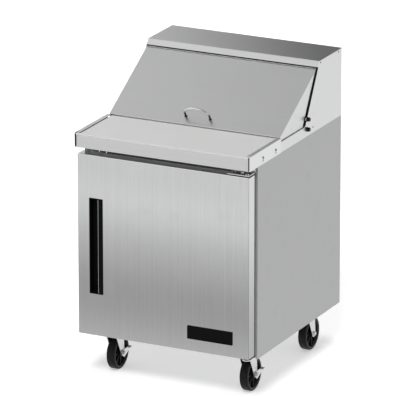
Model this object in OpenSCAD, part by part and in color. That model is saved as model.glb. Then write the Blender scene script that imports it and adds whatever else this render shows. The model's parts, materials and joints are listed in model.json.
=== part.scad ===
// Refrigerated sandwich prep table on braked swivel casters.
// X runs to the user's right, Y to the rear and Z up.
// The origin lies on the floor under the middle of the plan.

/* [Overall] */
// Width over the arms of the board tray
width = 698.5; // [660:0.5:760]
// Depth from the tray's front to the hood's back
depth = 783.4; // [760:0.1:860]
// Height of the cabinet between its base and the counter's lower edge
cabinet_h = 725.8; // [680:0.1:800]
// Height of the counter's apron
apron_h = 40; // [32:0.5:50]
// Height of the hood above the counter
hood_h = 217.2; // [200:0.1:240]

/* [Walls] */
// Thickness of the sheet steel
sheet = 1.2; // [0.8:0.1:1.6]
// Thickness of the base panel
base_t = 2.4; // [2:0.1:3]
// Thickness of the insulated cabinet walls
wall = 48; // [40:1:56]
// Thickness of the insulated floor
floor_t = 50; // [42:1:58]
// Thickness of the insulated deck under the cutting board
deck_t = 95; // [92:1:105]
// Thickness of the insulated hood walls
hood_wall = 20; // [16:0.5:22]

/* [Board tray] */
// Distance from the tray's front to the cabinet's front
cabinet_setback = 73.4; // [70:0.1:80]
// Thickness of the tray's sheet
tray_t = 1.8; // [1.5:0.1:2.2]
// Height of the tray's arms above the counter's lower edge
arm_h = 54; // [53.5:0.1:58]
// Width of the flanges on top of the arms
flange_w = 16; // [12:0.5:20]
// Height of the tray's front fascia
fascia_h = 44; // [42:0.1:45]
// Thickness of the cutting board
board_t = 11.2; // [10:0.1:12]
// Length of the board's nose in front of the flanges
nose_l = 16; // [13:0.5:24]
// Fore and aft distances of the two keyholes from the arm's rear end
keyhole_y = [44, 149];

/* [Hood and lid] */
// Depth of the hood's flat top
hood_top_d = 196.8; // [180:0.1:210]
// Depth of the hood at the foot of its slant
hood_foot_d = 316.4; // [300:0.1:330]
// Depth of the strip along the hood's upper front edge
hood_strip = 23.2; // [20:0.1:24]
// Distance from the hood's back to the lid's front edge
lid_reach = 519.1; // [500:0.1:530]
// Height of the lid's front edge above the counter
lid_front_h = 16; // [15:0.1:18]
// Height of the lip on the lid's front edge
lid_lip = 5.4; // [4:0.1:6]
// Gap between the counter and the lid's side walls
lid_foot_gap = 2.6; // [2:0.1:3.5]
// Thickness of the insulated lid
lid_t = 16; // [13:0.5:18]
// Distance of the lid's top edge down the hood's slant
lid_top_s = 35.7; // [34:0.1:40]
// Gap between lid and hood at the lid's top edge
seal_top_gap = 6.5; // [6.4:0.1:8]
// Gap between lid and hood at the foot of the slant
seal_foot_gap = 10; // [9:0.1:12]
// Spread of the lid handle's feet
grip_spread = 98; // [80:1:120]
// Height of the lid handle's corners above the lid
grip_leg = 28; // [26:0.5:42]
// Rise of the lid handle's bow above its corners
grip_bow = 22; // [15:0.5:26]
// Distance of the lid handle from the lid's front edge
grip_back = 37.5; // [35:0.5:60]

/* [Door] */
// Gap between the door's side and the side panel's face
door_side_gap = 3.4; // [3:0.1:5]
// Gap between the door's top and the tray
door_top_gap = 25; // [24:0.1:28]
// Height of the door's lower edge above the cabinet's base
door_lift = 17; // [15:0.1:20]
// Thickness of the door
door_t = 45.2; // [42:0.1:50]
// Gap between the door and the cabinet's front, which the seal fills
door_gap = 20; // [18:0.1:22]
// Width of the recessed handle
pull_w = 54.8; // [50:0.1:62]
// Height of the recessed handle
pull_h = 363; // [320:1:400]
// Depth of the recessed handle
pull_d = 27; // [24:0.5:30]
// Distance from the door's free edge to the recessed handle
pull_edge = 46.7; // [40:0.1:56]
// Height of the recessed handle above the door's lower edge
pull_z = 159.5; // [140:0.5:180]
// Width of the bare plate
plate_w = 181; // [150:1:200]
// Height of the bare plate
plate_h = 50.5; // [40:0.5:60]

/* [Food pans] */
// Rim size of a sixth-size pan across the table
pan_w = 162; // [158:0.5:164]
// Rim size of a sixth-size pan front to back
pan_l = 176; // [170:0.5:180]
// Depth of a pan
pan_d = 100; // [65:1:104]

/* [Casters] */
// Diameter of a wheel
wheel_d = 127; // [110:1:140]
// Width of a wheel's tread
wheel_w = 32; // [28:0.5:36]
// Height of a caster above its wheel
caster_head = 34; // [32:0.5:40]
// Distance of the axle behind the swivel axis
trail = 30; // [26:0.5:36]
// Distance of the swivel axes from the cabinet's middle plane
caster_x = 270; // [250:0.5:275]
// Distance of the front swivel axes from the cabinet's front
caster_front = 73.3; // [66:0.1:90]
// Distance of the rear swivel axes from the cabinet's back
caster_rear = 137.7; // [120:0.1:150]

/* [Hidden] */
$fn = 48;

// Clearances
fit = 0.2;
run_fit = 0.05;
rub_gap = 0.4;
foam_gap = 0.05;
eps = 0.02;

// Outer planes
half_w = width / 2;
y_front = -depth / 2;
y_rear = depth / 2;
apron_hw = half_w - tray_t - fit;
cab_hw = apron_hw - sheet;
core_hw = cab_hw - sheet;
hood_hw = cab_hw + rub_gap;
lid_hw = hood_hw - 3.1;
cab_y = y_front + cabinet_setback;
cab_z = wheel_d + caster_head;
core_y0 = cab_y + sheet;
core_y1 = y_rear - sheet;
apron_z = cab_z + cabinet_h;
counter_z = apron_z + apron_h;
height = counter_z + hood_h;

// Inside of the cabinet
int_hw = cab_hw - wall;
int_y1 = y_rear - wall;
int_z0 = cab_z + floor_t;
int_z1 = counter_z - deck_t;
bay_d = 250;
bay_h = 270;
bay_wall = 40;
bay_y = y_rear - bay_d;
bay_z = cab_z + base_t + bay_h;
panel_hem = 10;
step_y = bay_y - bay_wall;
step_z = bay_z + bay_wall;

// Counter opening and its pans
pan_rim = 8;
pan_rim_t = 2.4;
pan_wall = 1;
pan_step = 3;
pan_gap = 0.5;
pan_cols = floor(2 * (hood_hw - hood_wall) / pan_w);
pan_rows = 2;
well_air = 4;
well_drop = 12;
pan_setback = 148;
opening_hw = pan_cols * pan_w / 2 - pan_rim;
opening_l = pan_rows * pan_l - 2 * pan_rim;
opening_y1 = y_rear - pan_setback;
opening_y0 = opening_y1 - opening_l;
well_hw = opening_hw + well_air;
well_z = counter_z - pan_d - well_drop;

// Slanted front of the hood, in the (y, z) plane
lid_z = counter_z + lid_foot_gap;
slant_top = [y_rear - hood_top_d, height];
slant_foot = [y_rear - hood_foot_d, lid_z];
slant_l = norm(slant_foot - slant_top);
slant_dir = (slant_foot - slant_top) / slant_l;
slant_out = [slant_dir[1], -slant_dir[0]];
header_s = 50;
hood_in_hw = hood_hw - hood_wall;
function slant(s, out) = slant_top + s * slant_dir + out * slant_out;

// Wedge lid, in the (y, z) plane
lid_top = slant(lid_top_s, seal_top_gap);
lid_front = [y_rear - lid_reach, counter_z + lid_front_h];
lid_lip_z = lid_front[1] - lid_lip;
lid_dir = (lid_front - lid_top) / norm(lid_front - lid_top);
lid_in = [-lid_dir[1], lid_dir[0]];
lid_rear_aim = slant(slant_l, seal_foot_gap);
lid_rear_dir = (lid_rear_aim - lid_top) / norm(lid_rear_aim - lid_top);
lid_rear_out = [-lid_rear_dir[1], lid_rear_dir[0]];
lid_rear_foot = lid_top + lid_rear_dir * (lid_top[1] - lid_z) / -lid_rear_dir[1];
lid_toe = 6;
function lid_rear(d, i) = lid_top - i * lid_rear_out
  + lid_rear_dir * (d + i * (lid_rear_out * lid_in)) / (lid_rear_dir * lid_in);
function lid_at_y(y, d) = lid_top + d * lid_in + lid_dir * (y - lid_top[0] - d * lid_in[0]) / lid_dir[0];
function lid_at_z(z, d) = lid_top + d * lid_in + lid_dir * (z - lid_top[1] - d * lid_in[1]) / lid_dir[1];
function lid_slab(d0, d1, i_rear, i_front, i_foot) = [
  lid_rear(d0, i_rear),
  lid_at_y(lid_front[0] + i_front, d0),
  [lid_front[0] + i_front, lid_lip_z + i_foot],
  lid_at_z(lid_lip_z + i_foot, d1),
  lid_rear(d1, i_rear)
];

// Lid hinge
hinge_rise = 4;
hinge_pin_r = 1.5;
knuckle_r = 2.6;
knuckle_gap = 0.4;
knuckle_aim = 24;
leaf_t = 1.2;
leaf_gap = 0.02;
leaf_l = 14;
leaf_lap = 2;
leaf_clear = knuckle_r + 0.8;
side_seal_w = 16;
hinge_hw = hood_hw - side_seal_w - 4;
knuckles = 2 * floor(hinge_hw / knuckle_aim) + 1;
knuckle_l = 2 * hinge_hw / knuckles;
hinge_s = lid_top_s - hinge_rise;
hinge_axis = slant(hinge_s, seal_top_gap / 2);

// Door and its hinge
door_hw = cab_hw - door_side_gap;
door_y1 = cab_y - door_gap;
door_y0 = door_y1 - door_t;
door_z0 = cab_z + door_lift;
door_z1 = apron_z - door_top_gap;
pull_x = -door_hw + pull_edge;
pull_rim = 2;
pull_lip = 14;
seal_w = 16;
seal_inset = 10;
door_pin_r = 4;
door_pin_l = 16;
door_pin_x = door_hw - 17.7;
door_pin_y = door_y0 + 22.7;
seal_hw = door_pin_x - 3;
bracket_t = 3;
strap_l = 72;
bracket_gap = 2;
foot_gap = 6;
bush_r = 8;
bush_l = door_pin_l + 4;
collar_r = 10;
collar_h = foot_gap - rub_gap;
door_bead = 3;

// Board tray and cutting board
arm_y1 = lid_front[0] - 4;
arm_z = apron_z + arm_h;
fascia_inset = 2;
fascia_gap = 3;
fascia_hem = 10;
fascia_hw = half_w - tray_t - fascia_gap;
board_hw = half_w - flange_w - 3;
board_y0 = y_front + 1;
board_y1 = arm_y1 - 0.5;
board_z = counter_z;
nose_r = 5.5;
key_r = 4.5;
key_slot_r = 2.4;
key_z = apron_z + 14;
key_l = 10;

// Shelf
shelf_z = step_z + 90;
shelf_y0 = cab_y + 30;
shelf_y1 = int_y1 - 110;
shelf_rod_r = 4;
shelf_wire_r = 2;
shelf_wires = 19;
pilaster_w = 16;
pilaster_t = 2;
clip_h = 14;
shelf_hw = int_hw - pilaster_t - 4;

// Cold unit on the liner's rear wall
evap_hw = 210;
evap_z0 = step_z + 24;
evap_h = 250;
evap_d = 88;
evap_y = int_y1 - evap_d;
evap_fan_r = 78;
evap_mid_z = evap_z0 + evap_h / 2;
knob_x = 165;
knob_z = evap_z0 + evap_h - 44;

// Condensing unit in the rear bay
cond_hw = 130;
cond_side = 64.85;
cond_x = -core_hw + cond_hw + cond_side;
cond_fan_r = 96;
cond_d = 44;
cond_y1 = y_rear - 16;
cond_y0 = cond_y1 - cond_d;
cond_z0 = cab_z + base_t;
cond_h = 236;
cond_mid_z = cond_z0 + cond_h / 2 + 12;
shroud_y = cond_y0 - 14;
fan_shaft_r = 4;
fan_shaft_in = 20;
cond_fan_d = 20;
cond_fan_gap = 2;
cond_motor_gap = 26;
cond_motor_l = 48;
comp_r = 78;
comp_side = 96.85;
comp_x = core_hw - comp_r - comp_side;
comp_y = y_rear - 125;
comp_h = 176;
grille_hw = 290;
grille_z0 = cab_z + 30;
grille_h = 220;
grille_sink = 9;
grille_y = y_rear - grille_sink;
louvre_pitch = 22;
louvre_reach = 7;

// Casters
axle_z = wheel_d / 2;
axle_r = 6;
fork_t = 3;
fork_gap = 2.5;
hub_gap = 0.5;
hub_r = 15;
fork_in = wheel_w / 2 + fork_gap;
fork_out = fork_in + fork_t;
plate_t = 4;
race_h = 9;
race_r = 30;
crown_t = 4;
king_r = 6;
crown_z = cab_z - plate_t - race_h - rub_gap;
front_swivel_y = cab_y + caster_front;
rear_swivel_y = y_rear - caster_rear;
lever_l = 48;
lever_t = 2.5;
lever_w = 14;
lever_tilt = 8;
brake_room = lever_t + 2 * hub_gap;
tread_l = 18;
tread_w = 14;

STEEL = "silver";
BRIGHT = "gainsboro";
DARK = "dimgray";
BLACK = [0.08, 0.08, 0.09];
WHITE = "whitesmoke";
FOAM = "khaki";

// Box between two opposite corners
module span(lo, hi) {
  translate(lo) cube(hi - lo);
}

// Side profile in (y, z) drawn out along X
module prism_x(points, x0, x1) {
  translate([x0, 0, 0]) rotate([90, 0, 90]) linear_extrude(x1 - x0) polygon(points);
}

// Shape and its mirror image in the middle plane
module both_sides() {
  children();
  mirror([1, 0, 0]) children();
}

// Cylinder along X from x0 to x1 at (y, z)
module rod_x(r, x0, x1, y, z) {
  translate([x0, y, z]) rotate([0, 90, 0]) cylinder(r = r, h = x1 - x0);
}

// Cylinder along Y from y0 to y1 at (x, z)
module rod_y(r, y0, y1, x, z) {
  translate([x, y0, z]) rotate([-90, 0, 0]) cylinder(r = r, h = y1 - y0);
}

// Rectangle with round corners about the origin
module round_rect(w, l, r) {
  square([w - 2 * r, l], center = true);
  square([w, l - 2 * r], center = true);
  for (x = [-1, 1], y = [-1, 1]) translate([x * (w / 2 - r), y * (l / 2 - r)]) circle(r);
}

// Plate in the XZ plane with round corners, y0 at its front
module round_plate_xz(x0, x1, z0, z1, y0, y1, r) {
  translate([(x0 + x1) / 2, y1, (z0 + z1) / 2]) rotate([90, 0, 0])
    linear_extrude(y1 - y0) round_rect(x1 - x0, z1 - z0, r);
}

// Cabinet

module side_panel() {
  span([core_hw, cab_y, cab_z], [cab_hw, y_rear, apron_z]);
  span([core_hw - panel_hem, core_y1, cab_z], [core_hw + eps, y_rear, apron_z]);
}

module side_panel_right() {
  color(STEEL) side_panel();
}

module side_panel_left() {
  color(STEEL) mirror([1, 0, 0]) side_panel();
}

// Rear panel with a collar that sinks the grille below its face
module back_panel() {
  panel_hw = core_hw - panel_hem;
  color(STEEL) difference() {
    union() {
      span([-panel_hw, core_y1, cab_z], [panel_hw, y_rear, apron_z]);
      span([-grille_hw, grille_y, grille_z0], [grille_hw, y_rear, grille_z0 + grille_h]);
    }
    span([-grille_hw + sheet, grille_y - 1, grille_z0 + sheet],
      [grille_hw - sheet, y_rear + 1, grille_z0 + grille_h - sheet]);
  }
}

module base_panel() {
  color(DARK) span([-core_hw, core_y0, cab_z], [core_hw, core_y1, cab_z + base_t]);
}

module front_frame() {
  color(STEEL) difference() {
    span([-core_hw, cab_y, cab_z], [core_hw, core_y0, apron_z]);
    span([-int_hw, cab_y - 1, int_z0], [int_hw, core_y0 + 1, int_z1]);
  }
}

// Room inside the cabinet, grown by g on its closed sides
module cabinet_room(g, front) {
  prism_x([
    [front, int_z0 - g], [step_y + g, int_z0 - g], [step_y + g, step_z - g], [int_y1 + g, step_z - g],
    [int_y1 + g, int_z1 + g], [front, int_z1 + g]
  ], -int_hw - g, int_hw + g);
}

// Room for the pans below the counter opening, grown by g
module pan_well(g, top) {
  span([-well_hw - g, opening_y0 - well_air - g, well_z - g],
    [well_hw + g, opening_y1 + well_air + g, top]);
}

module inner_liner() {
  color(BRIGHT) difference() {
    union() {
      cabinet_room(sheet, core_y0);
      pan_well(sheet, counter_z - sheet);
    }
    cabinet_room(0, core_y0 - 1);
    pan_well(0, counter_z);
  }
}

module cabinet_insulation() {
  color(FOAM) difference() {
    span([-core_hw, core_y0, cab_z + base_t], [core_hw, core_y1, counter_z - sheet]);
    cabinet_room(sheet, core_y0 - 1);
    pan_well(sheet, counter_z);
    span([-core_hw - 1, bay_y, cab_z], [core_hw + 1, y_rear, bay_z]);
  }
}

// Sheet that lines the machine bay
module bay_panel() {
  color(STEEL) {
    span([-core_hw, bay_y, cab_z + base_t], [core_hw, bay_y + sheet, bay_z]);
    span([-core_hw, bay_y, bay_z - sheet], [core_hw, core_y1, bay_z]);
  }
}

module rear_grille() {
  slat_t = 1.2;
  slat_l = 18;
  slat_tilt = 40;
  cols = 2;
  frame_w = 14;
  col_w = (2 * grille_hw - (cols + 1) * frame_w) / cols;
  rows = floor((grille_h - 2 * frame_w) / louvre_pitch);
  first_z = grille_z0 + (grille_h - rows * louvre_pitch) / 2;
  slot_in = 4;
  slot_lift = 3;
  slot_h = louvre_pitch - 12;
  color(DARK) difference() {
    union() {
      span([-grille_hw, grille_y - sheet, grille_z0], [grille_hw, grille_y, grille_z0 + grille_h]);
      for (c = [0:cols - 1], r = [0:rows - 1])
        translate([-grille_hw + frame_w + c * (col_w + frame_w), grille_y - sheet / 2, 0])
          translate([0, 0, first_z + r * louvre_pitch]) louvre(col_w, slat_l, slat_t, slat_tilt);
    }
    for (c = [0:cols - 1], r = [0:rows - 1])
      translate([-grille_hw + frame_w + c * (col_w + frame_w), grille_y - sheet - 1, 0])
        translate([slot_in, 0, first_z + r * louvre_pitch + slot_lift])
          cube([col_w - 2 * slot_in, sheet + 1 + eps, slot_h]);
  }
}

// One pressed louvre: a hood over its slot that leans out and down
module louvre(w, l, t, tilt) {
  top = louvre_pitch - 6;
  toe = top - l * sin(tilt);
  prism_x([[0, top], [louvre_reach, toe], [louvre_reach, toe - t], [0, top - t - 1]], 0, w);
}

// Condensing unit

module compressor() {
  foot_z = cab_z + base_t;
  edge = 26;
  color(BLACK) {
    translate([comp_x, comp_y, foot_z + 18]) rotate_extrude($fn = 64) difference() {
      union() {
        square([comp_r - edge, comp_h - 18]);
        translate([0, edge]) square([comp_r, comp_h - 18 - 2 * edge]);
        for (z = [edge, comp_h - 18 - edge]) translate([comp_r - edge, z]) circle(edge);
      }
      translate([-comp_r, -1]) square([comp_r, comp_h]);
    }
    difference() {
      translate([comp_x, comp_y, foot_z + 14]) linear_extrude(5)
        round_rect(2 * comp_r + 10, 2 * comp_r - 10, 20);
      for (x = [-1, 1], y = [-1, 1])
        translate([comp_x + x * (comp_r - 12), comp_y + y * (comp_r - 22), foot_z]) cylinder(r = 6, h = 30);
    }
    for (x = [-1, 1], y = [-1, 1])
      translate([comp_x + x * (comp_r - 12), comp_y + y * (comp_r - 22), foot_z]) {
        cylinder(r = 9, h = 14);
        cylinder(r = 6 - fit, h = 24);
      }
    translate([comp_x - comp_r - 14, comp_y - 28, foot_z + 60]) cube([26, 56, 64]);
  }
}

// Finned block between two end plates with tubes through it
module finned_coil(hw, d, h, fins, tubes) {
  fin_t = 0.8;
  fin_in = 2;
  tube_r = 4.5;
  tube_out = 6;
  end_t = 2;
  for (x = [-1, 1]) translate([x * (hw - end_t / 2) - end_t / 2, 0, 0]) cube([end_t, d, h]);
  for (i = [1:fins]) translate([-hw + i * 2 * hw / (fins + 1) - fin_t / 2, fin_in, fin_in])
    cube([fin_t, d - 2 * fin_in, h - 2 * fin_in]);
  for (i = [0:tubes - 1]) rod_x(tube_r, -hw - tube_out, hw + tube_out, d / 2, h * (i + 0.5) / tubes);
}

module condenser_coil() {
  color(DARK) translate([cond_x, cond_y0, cond_z0]) finned_coil(cond_hw, cond_d, cond_h, 25, 8);
}

// Shroud with a fan ring, and the fan motor on three arms
module condenser_shroud() {
  ring_d = 12;
  motor_r = 34;
  motor_y1 = shroud_y - cond_motor_gap;
  motor_y0 = motor_y1 - cond_motor_l;
  color(STEEL) {
    difference() {
      union() {
        span([cond_x - cond_hw, shroud_y, cond_z0], [cond_x + cond_hw, shroud_y + sheet, cond_z0 + cond_h]);
        for (x = [-1, 1]) translate([cond_x + x * (cond_hw - sheet / 2) - sheet / 2, shroud_y, cond_z0])
          cube([sheet, cond_y0 - shroud_y, cond_h]);
        rod_y(cond_fan_r + 6 + sheet, shroud_y - ring_d, shroud_y + sheet, cond_x, cond_mid_z);
      }
      rod_y(cond_fan_r + 6, shroud_y - ring_d - 1, shroud_y + sheet + 1, cond_x, cond_mid_z);
    }
    difference() {
      union() {
        rod_y(motor_r, motor_y0, motor_y1, cond_x, cond_mid_z);
        for (x = [-1, 1]) {
          translate([cond_x + x * (cond_hw + motor_r - 4) / 2, motor_y0 + 6, cond_mid_z])
            cube([cond_hw - motor_r + 4, 3, 20], center = true);
          translate([cond_x + x * (cond_hw - 1.5), (motor_y0 + 4.5 + shroud_y) / 2, cond_mid_z])
            cube([3, shroud_y - motor_y0 - 4.5, 20], center = true);
        }
      }
      rod_y(fan_shaft_r + run_fit, motor_y1 - 24, motor_y1 + 1, cond_x, cond_mid_z);
    }
  }
}

// Axial fan about the Y axis through (x, z), its blades from y0 to y1
module axial_fan(r, x, z, y0, y1, shaft_y, blades) {
  hub = r / 4;
  pitch = 35;
  chord = (y1 - y0) / sin(pitch);
  translate([x, (y0 + y1) / 2, z]) {
    intersection() {
      for (i = [0:blades - 1]) rotate([0, i * 360 / blades, 0])
        translate([0, 0, r / 2]) rotate([0, 0, pitch]) cube([chord, 1.6, r * 1.2], center = true);
      rod_y(r, (y0 - y1) / 2, (y1 - y0) / 2, 0, 0);
    }
    rod_y(hub, (y0 - y1) / 2, (y1 - y0) / 2, 0, 0);
  }
  rod_y(fan_shaft_r, shaft_y, y1, x, z);
}

module condenser_fan() {
  fan_y1 = shroud_y - cond_fan_gap;
  shaft_y = shroud_y - cond_motor_gap - fan_shaft_in;
  color("slategray") axial_fan(cond_fan_r, cond_x, cond_mid_z, fan_y1 - cond_fan_d, fan_y1, shaft_y, 5);
}

module drain_pan() {
  pan_y0 = bay_y + 6;
  pan_y1 = shroud_y - 14;
  pan_h = 26;
  pan_hw = cond_hw - 10;
  pan_t = 2;
  color(BLACK) translate([0, 0, cab_z + base_t]) difference() {
    span([cond_x - pan_hw, pan_y0, 0], [cond_x + pan_hw, pan_y1, pan_h]);
    span([cond_x - pan_hw + pan_t, pan_y0 + pan_t, pan_t],
      [cond_x + pan_hw - pan_t, pan_y1 - pan_t, pan_h + 1]);
  }
}

// Cold unit

module evaporator_coil() {
  coil_d = 32;
  motor_r = 24;
  motor_y0 = int_y1 - coil_d - 26;
  color("darkgray") {
    translate([0, int_y1 - coil_d, evap_z0 + 10]) finned_coil(evap_hw - 16, coil_d, evap_h - 20, 29, 7);
    difference() {
      rod_y(motor_r, motor_y0, int_y1 - coil_d + 4, 0, evap_mid_z);
      rod_y(fan_shaft_r + run_fit, motor_y0 - 1, motor_y0 + 18, 0, evap_mid_z);
    }
  }
}

module evaporator_fan() {
  fan_y0 = evap_y + 6;
  fan_y1 = fan_y0 + 16;
  color("slategray") translate([0, fan_y0 + fan_y1, 0]) mirror([0, 1, 0])
    axial_fan(evap_fan_r - 4, 0, evap_mid_z, fan_y0, fan_y1, fan_y0 - 20, 5);
}

module evaporator_cover() {
  slots = 6;
  slot_pitch = 18;
  guard_r = [24, 42, 60];
  color(WHITE) {
    difference() {
      span([-evap_hw, evap_y, evap_z0], [evap_hw, int_y1, evap_z0 + evap_h]);
      span([-evap_hw + sheet, evap_y + sheet, evap_z0 + sheet],
        [evap_hw - sheet, int_y1 + 1, evap_z0 + evap_h - sheet]);
      rod_y(evap_fan_r, evap_y - 1, evap_y + 2, 0, evap_mid_z);
      for (x = [-1, 1], i = [0:slots - 1])
        translate([x * 130 - 34, evap_y - 1, evap_z0 + 24 + i * slot_pitch]) cube([68, 3, 7]);
      rod_y(fan_shaft_r + run_fit, evap_y - 1, evap_y + 2, knob_x, knob_z);
    }
    for (r = guard_r) difference() {
      rod_y(r + 1.5, evap_y - 1.5, evap_y + sheet, 0, evap_mid_z);
      rod_y(r - 1.5, evap_y - 2, evap_y + sheet + 1, 0, evap_mid_z);
    }
    for (a = [0, 45, 90, 135]) translate([0, evap_y - 0.6, evap_mid_z]) rotate([0, a, 0])
      cube([3, 2.2, 2 * evap_fan_r + 6], center = true);
  }
}

module thermostat_knob() {
  knob_r = 17;
  knob_l = 16;
  flutes = 12;
  color(BLACK) {
    difference() {
      rod_y(knob_r, evap_y - rub_gap - knob_l, evap_y - rub_gap, knob_x, knob_z);
      for (i = [1:flutes - 1]) translate([knob_x, 0, knob_z]) rotate([0, i * 360 / flutes, 0])
        rod_y(2.4, evap_y - knob_l - 2, evap_y - rub_gap - 4, 0, knob_r + 0.6);
    }
    rod_y(fan_shaft_r, evap_y - 2, evap_y + 12, knob_x, knob_z);
  }
}

// Counter and pans

module counter_top() {
  lip = 12;
  color(STEEL) difference() {
    union() {
      span([-apron_hw, cab_y, apron_z], [apron_hw, slant_foot[0] - fit, counter_z]);
      span([-core_hw, slant_foot[0] - 1, counter_z - sheet], [core_hw, core_y1, counter_z]);
      span([-opening_hw - sheet, opening_y0 - sheet, counter_z - lip],
        [opening_hw + sheet, opening_y1 + sheet, counter_z]);
    }
    span([-cab_hw, core_y0, apron_z - 1], [cab_hw, opening_y0 - sheet, counter_z - sheet]);
    both_sides() span([opening_hw + sheet, opening_y0 - 2, apron_z - 1],
      [cab_hw, y_rear, counter_z - sheet]);
    span([-cab_hw, opening_y1 + sheet, apron_z - 1], [cab_hw, y_rear, counter_z - sheet]);
    span([-cab_hw, opening_y0 - 2, apron_z - 1], [cab_hw, slant_foot[0] + 1, counter_z - lip]);
    span([-opening_hw, opening_y0, apron_z - 2], [opening_hw, opening_y1, counter_z + 1]);
  }
}

// Bars that carry the inner rims of the pans
module pan_divider_bars() {
  bar_w = 10;
  bar_h = 10;
  mid_y = (opening_y0 + opening_y1) / 2;
  color(STEEL) {
    span([-opening_hw, mid_y - bar_w / 2, counter_z - bar_h], [opening_hw, mid_y + bar_w / 2, counter_z]);
    for (i = [1:pan_cols - 1]) translate([-opening_hw - pan_rim + i * pan_w, 0, 0])
      span([-bar_w / 2, opening_y0, counter_z - bar_h], [bar_w / 2, opening_y1, counter_z]);
  }
}

// One food pan about its own middle, its rim resting at z = 0
module food_pan() {
  body_w = pan_w - 2 * pan_rim - 2;
  body_l = pan_l - 2 * pan_rim - 2;
  low_w = body_w - 2 * pan_step;
  low_l = body_l - 2 * pan_step;
  shoulder = 22;
  corner = 16;
  difference() {
    union() {
      linear_extrude(pan_rim_t) round_rect(pan_w - pan_gap, pan_l - pan_gap, corner / 2);
      translate([0, 0, -shoulder]) linear_extrude(shoulder + eps) round_rect(body_w, body_l, corner);
      translate([0, 0, -pan_d]) linear_extrude(pan_d) round_rect(low_w, low_l, corner);
    }
    translate([0, 0, pan_step - shoulder]) linear_extrude(shoulder + pan_rim_t)
      round_rect(body_w - 2 * pan_wall, body_l - 2 * pan_wall, corner - pan_wall);
    translate([0, 0, pan_wall - pan_d]) linear_extrude(pan_d)
      round_rect(low_w - 2 * pan_wall, low_l - 2 * pan_wall, corner - pan_wall);
  }
}

module pan_row(row) {
  row_y = opening_y0 - pan_rim + (row + 0.5) * pan_l;
  color(BRIGHT) for (i = [0:pan_cols - 1])
    translate([(i - (pan_cols - 1) / 2) * pan_w, row_y, counter_z]) food_pan();
}

module front_pans() {
  pan_row(0);
}

module rear_pans() {
  pan_row(1);
}

// Board tray, screws and cutting board

// Keyhole in an arm: a round mouth below a narrow slot
module keyhole(y) {
  rod_x(key_r, half_w - tray_t - 1, half_w + 1, y, key_z);
  rod_x(key_slot_r, half_w - tray_t - 1, half_w + 1, y, key_z + key_l);
  span([half_w - tray_t - 1, y - key_slot_r, key_z], [half_w + 1, y + key_slot_r, key_z + key_l]);
}

module tray_arm() {
  corner = 5;
  difference() {
    union() {
      translate([half_w - tray_t, 0, 0]) rotate([90, 0, 90]) linear_extrude(tray_t) union() {
        translate([y_front + corner, apron_z]) square([arm_y1 - y_front - corner, arm_h]);
        translate([y_front, apron_z + corner]) square([corner + 1, arm_h - 2 * corner]);
        for (z = [apron_z + corner, arm_z - corner]) translate([y_front + corner, z]) circle(corner);
      }
      span([half_w - flange_w, y_front + nose_l, arm_z - tray_t], [half_w - corner / 4, arm_y1, arm_z]);
    }
    for (k = keyhole_y) keyhole(arm_y1 - k);
  }
}

// Folded tray: its fascia stands clear of the arms, with a hem at each end
module board_tray() {
  tray_hw = half_w - tray_t;
  fascia_y = y_front + fascia_inset;
  rear_y = cab_y - fit;
  color(STEEL) {
    both_sides() {
      tray_arm();
      span([fascia_hw - tray_t, fascia_y, apron_z], [fascia_hw, fascia_y + fascia_hem, counter_z]);
    }
    span([-fascia_hw, fascia_y, apron_z], [fascia_hw, fascia_y + tray_t, apron_z + fascia_h]);
    span([-fascia_hw, fascia_y, counter_z - tray_t], [fascia_hw, fascia_y + fascia_hem + eps, counter_z]);
    span([-tray_hw, fascia_y + fascia_hem, counter_z - tray_t], [tray_hw, rear_y, counter_z]);
    span([-tray_hw, rear_y - tray_t, apron_z], [tray_hw, rear_y, counter_z]);
  }
}

// Small fasteners: keyhole studs in the apron, screws in the hood's sides, washers under the thumb screws
module case_screws() {
  stud_head = 1;
  screw_r = 3.2;
  screw_l = 1.2;
  screw_top = height - 8.7;
  screw_low = apron_z + 21.5;
  screw_rear = y_rear - 28.4;
  screw_slant = slant_top[0] + 12.1;
  screw_foot = slant_foot[0] + 68.9;
  color(BRIGHT) both_sides() {
    for (k = keyhole_y) {
      rod_x(key_slot_r - fit, apron_hw, half_w + stud_head, arm_y1 - k, key_z + key_l);
      rod_x(key_r - 0.6, half_w + fit, half_w + stud_head + 0.6, arm_y1 - k, key_z + key_l);
    }
    for (p = [[screw_rear, screw_top], [screw_slant, screw_top], [screw_foot, screw_low]])
      translate([hood_hw, p[0], p[1]]) rotate([0, 90, 0])
        cylinder(r1 = screw_r, r2 = screw_r - 1, h = screw_l);
    for (z = thumb_z) rod_x(thumb_r + 1.2, hood_hw, hood_hw + thumb_washer, thumb_y, z);
  }
}

module cutting_board() {
  nose_hw = half_w - tray_t - 1;
  top = board_z + board_t;
  color(WHITE) difference() {
    union() {
      span([-board_hw, board_y0 + nose_r, board_z], [board_hw, board_y1, top]);
      span([-nose_hw, board_y0 + nose_r, board_z], [nose_hw, y_front + nose_l - 1, top]);
      span([-nose_hw, board_y0, board_z], [nose_hw, board_y0 + nose_r + 1, top - nose_r]);
      rod_x(nose_r, -nose_hw, nose_hw, board_y0 + nose_r, top - nose_r);
    }
    span([-half_w, y_front - 1, board_z - 1],
      [half_w, y_front + fascia_inset + tray_t + rub_gap, apron_z + fascia_h + fit]);
  }
}

// Hood

hood_rear_top = [y_rear, height];
hood_profile = [[y_rear, apron_z], hood_rear_top, slant_top, slant_foot, [slant_foot[0], apron_z]];

// Hood's inner profile, i inside its top and back, f behind its slant
function hood_room(i, f) = [
  [y_rear - i, counter_z],
  [y_rear - i, height - i],
  slant((i + f * slant_out[1] * -1) / -slant_dir[1], -f),
  slant((height - counter_z - f * slant_out[1]) / -slant_dir[1], -f)
];

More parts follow.
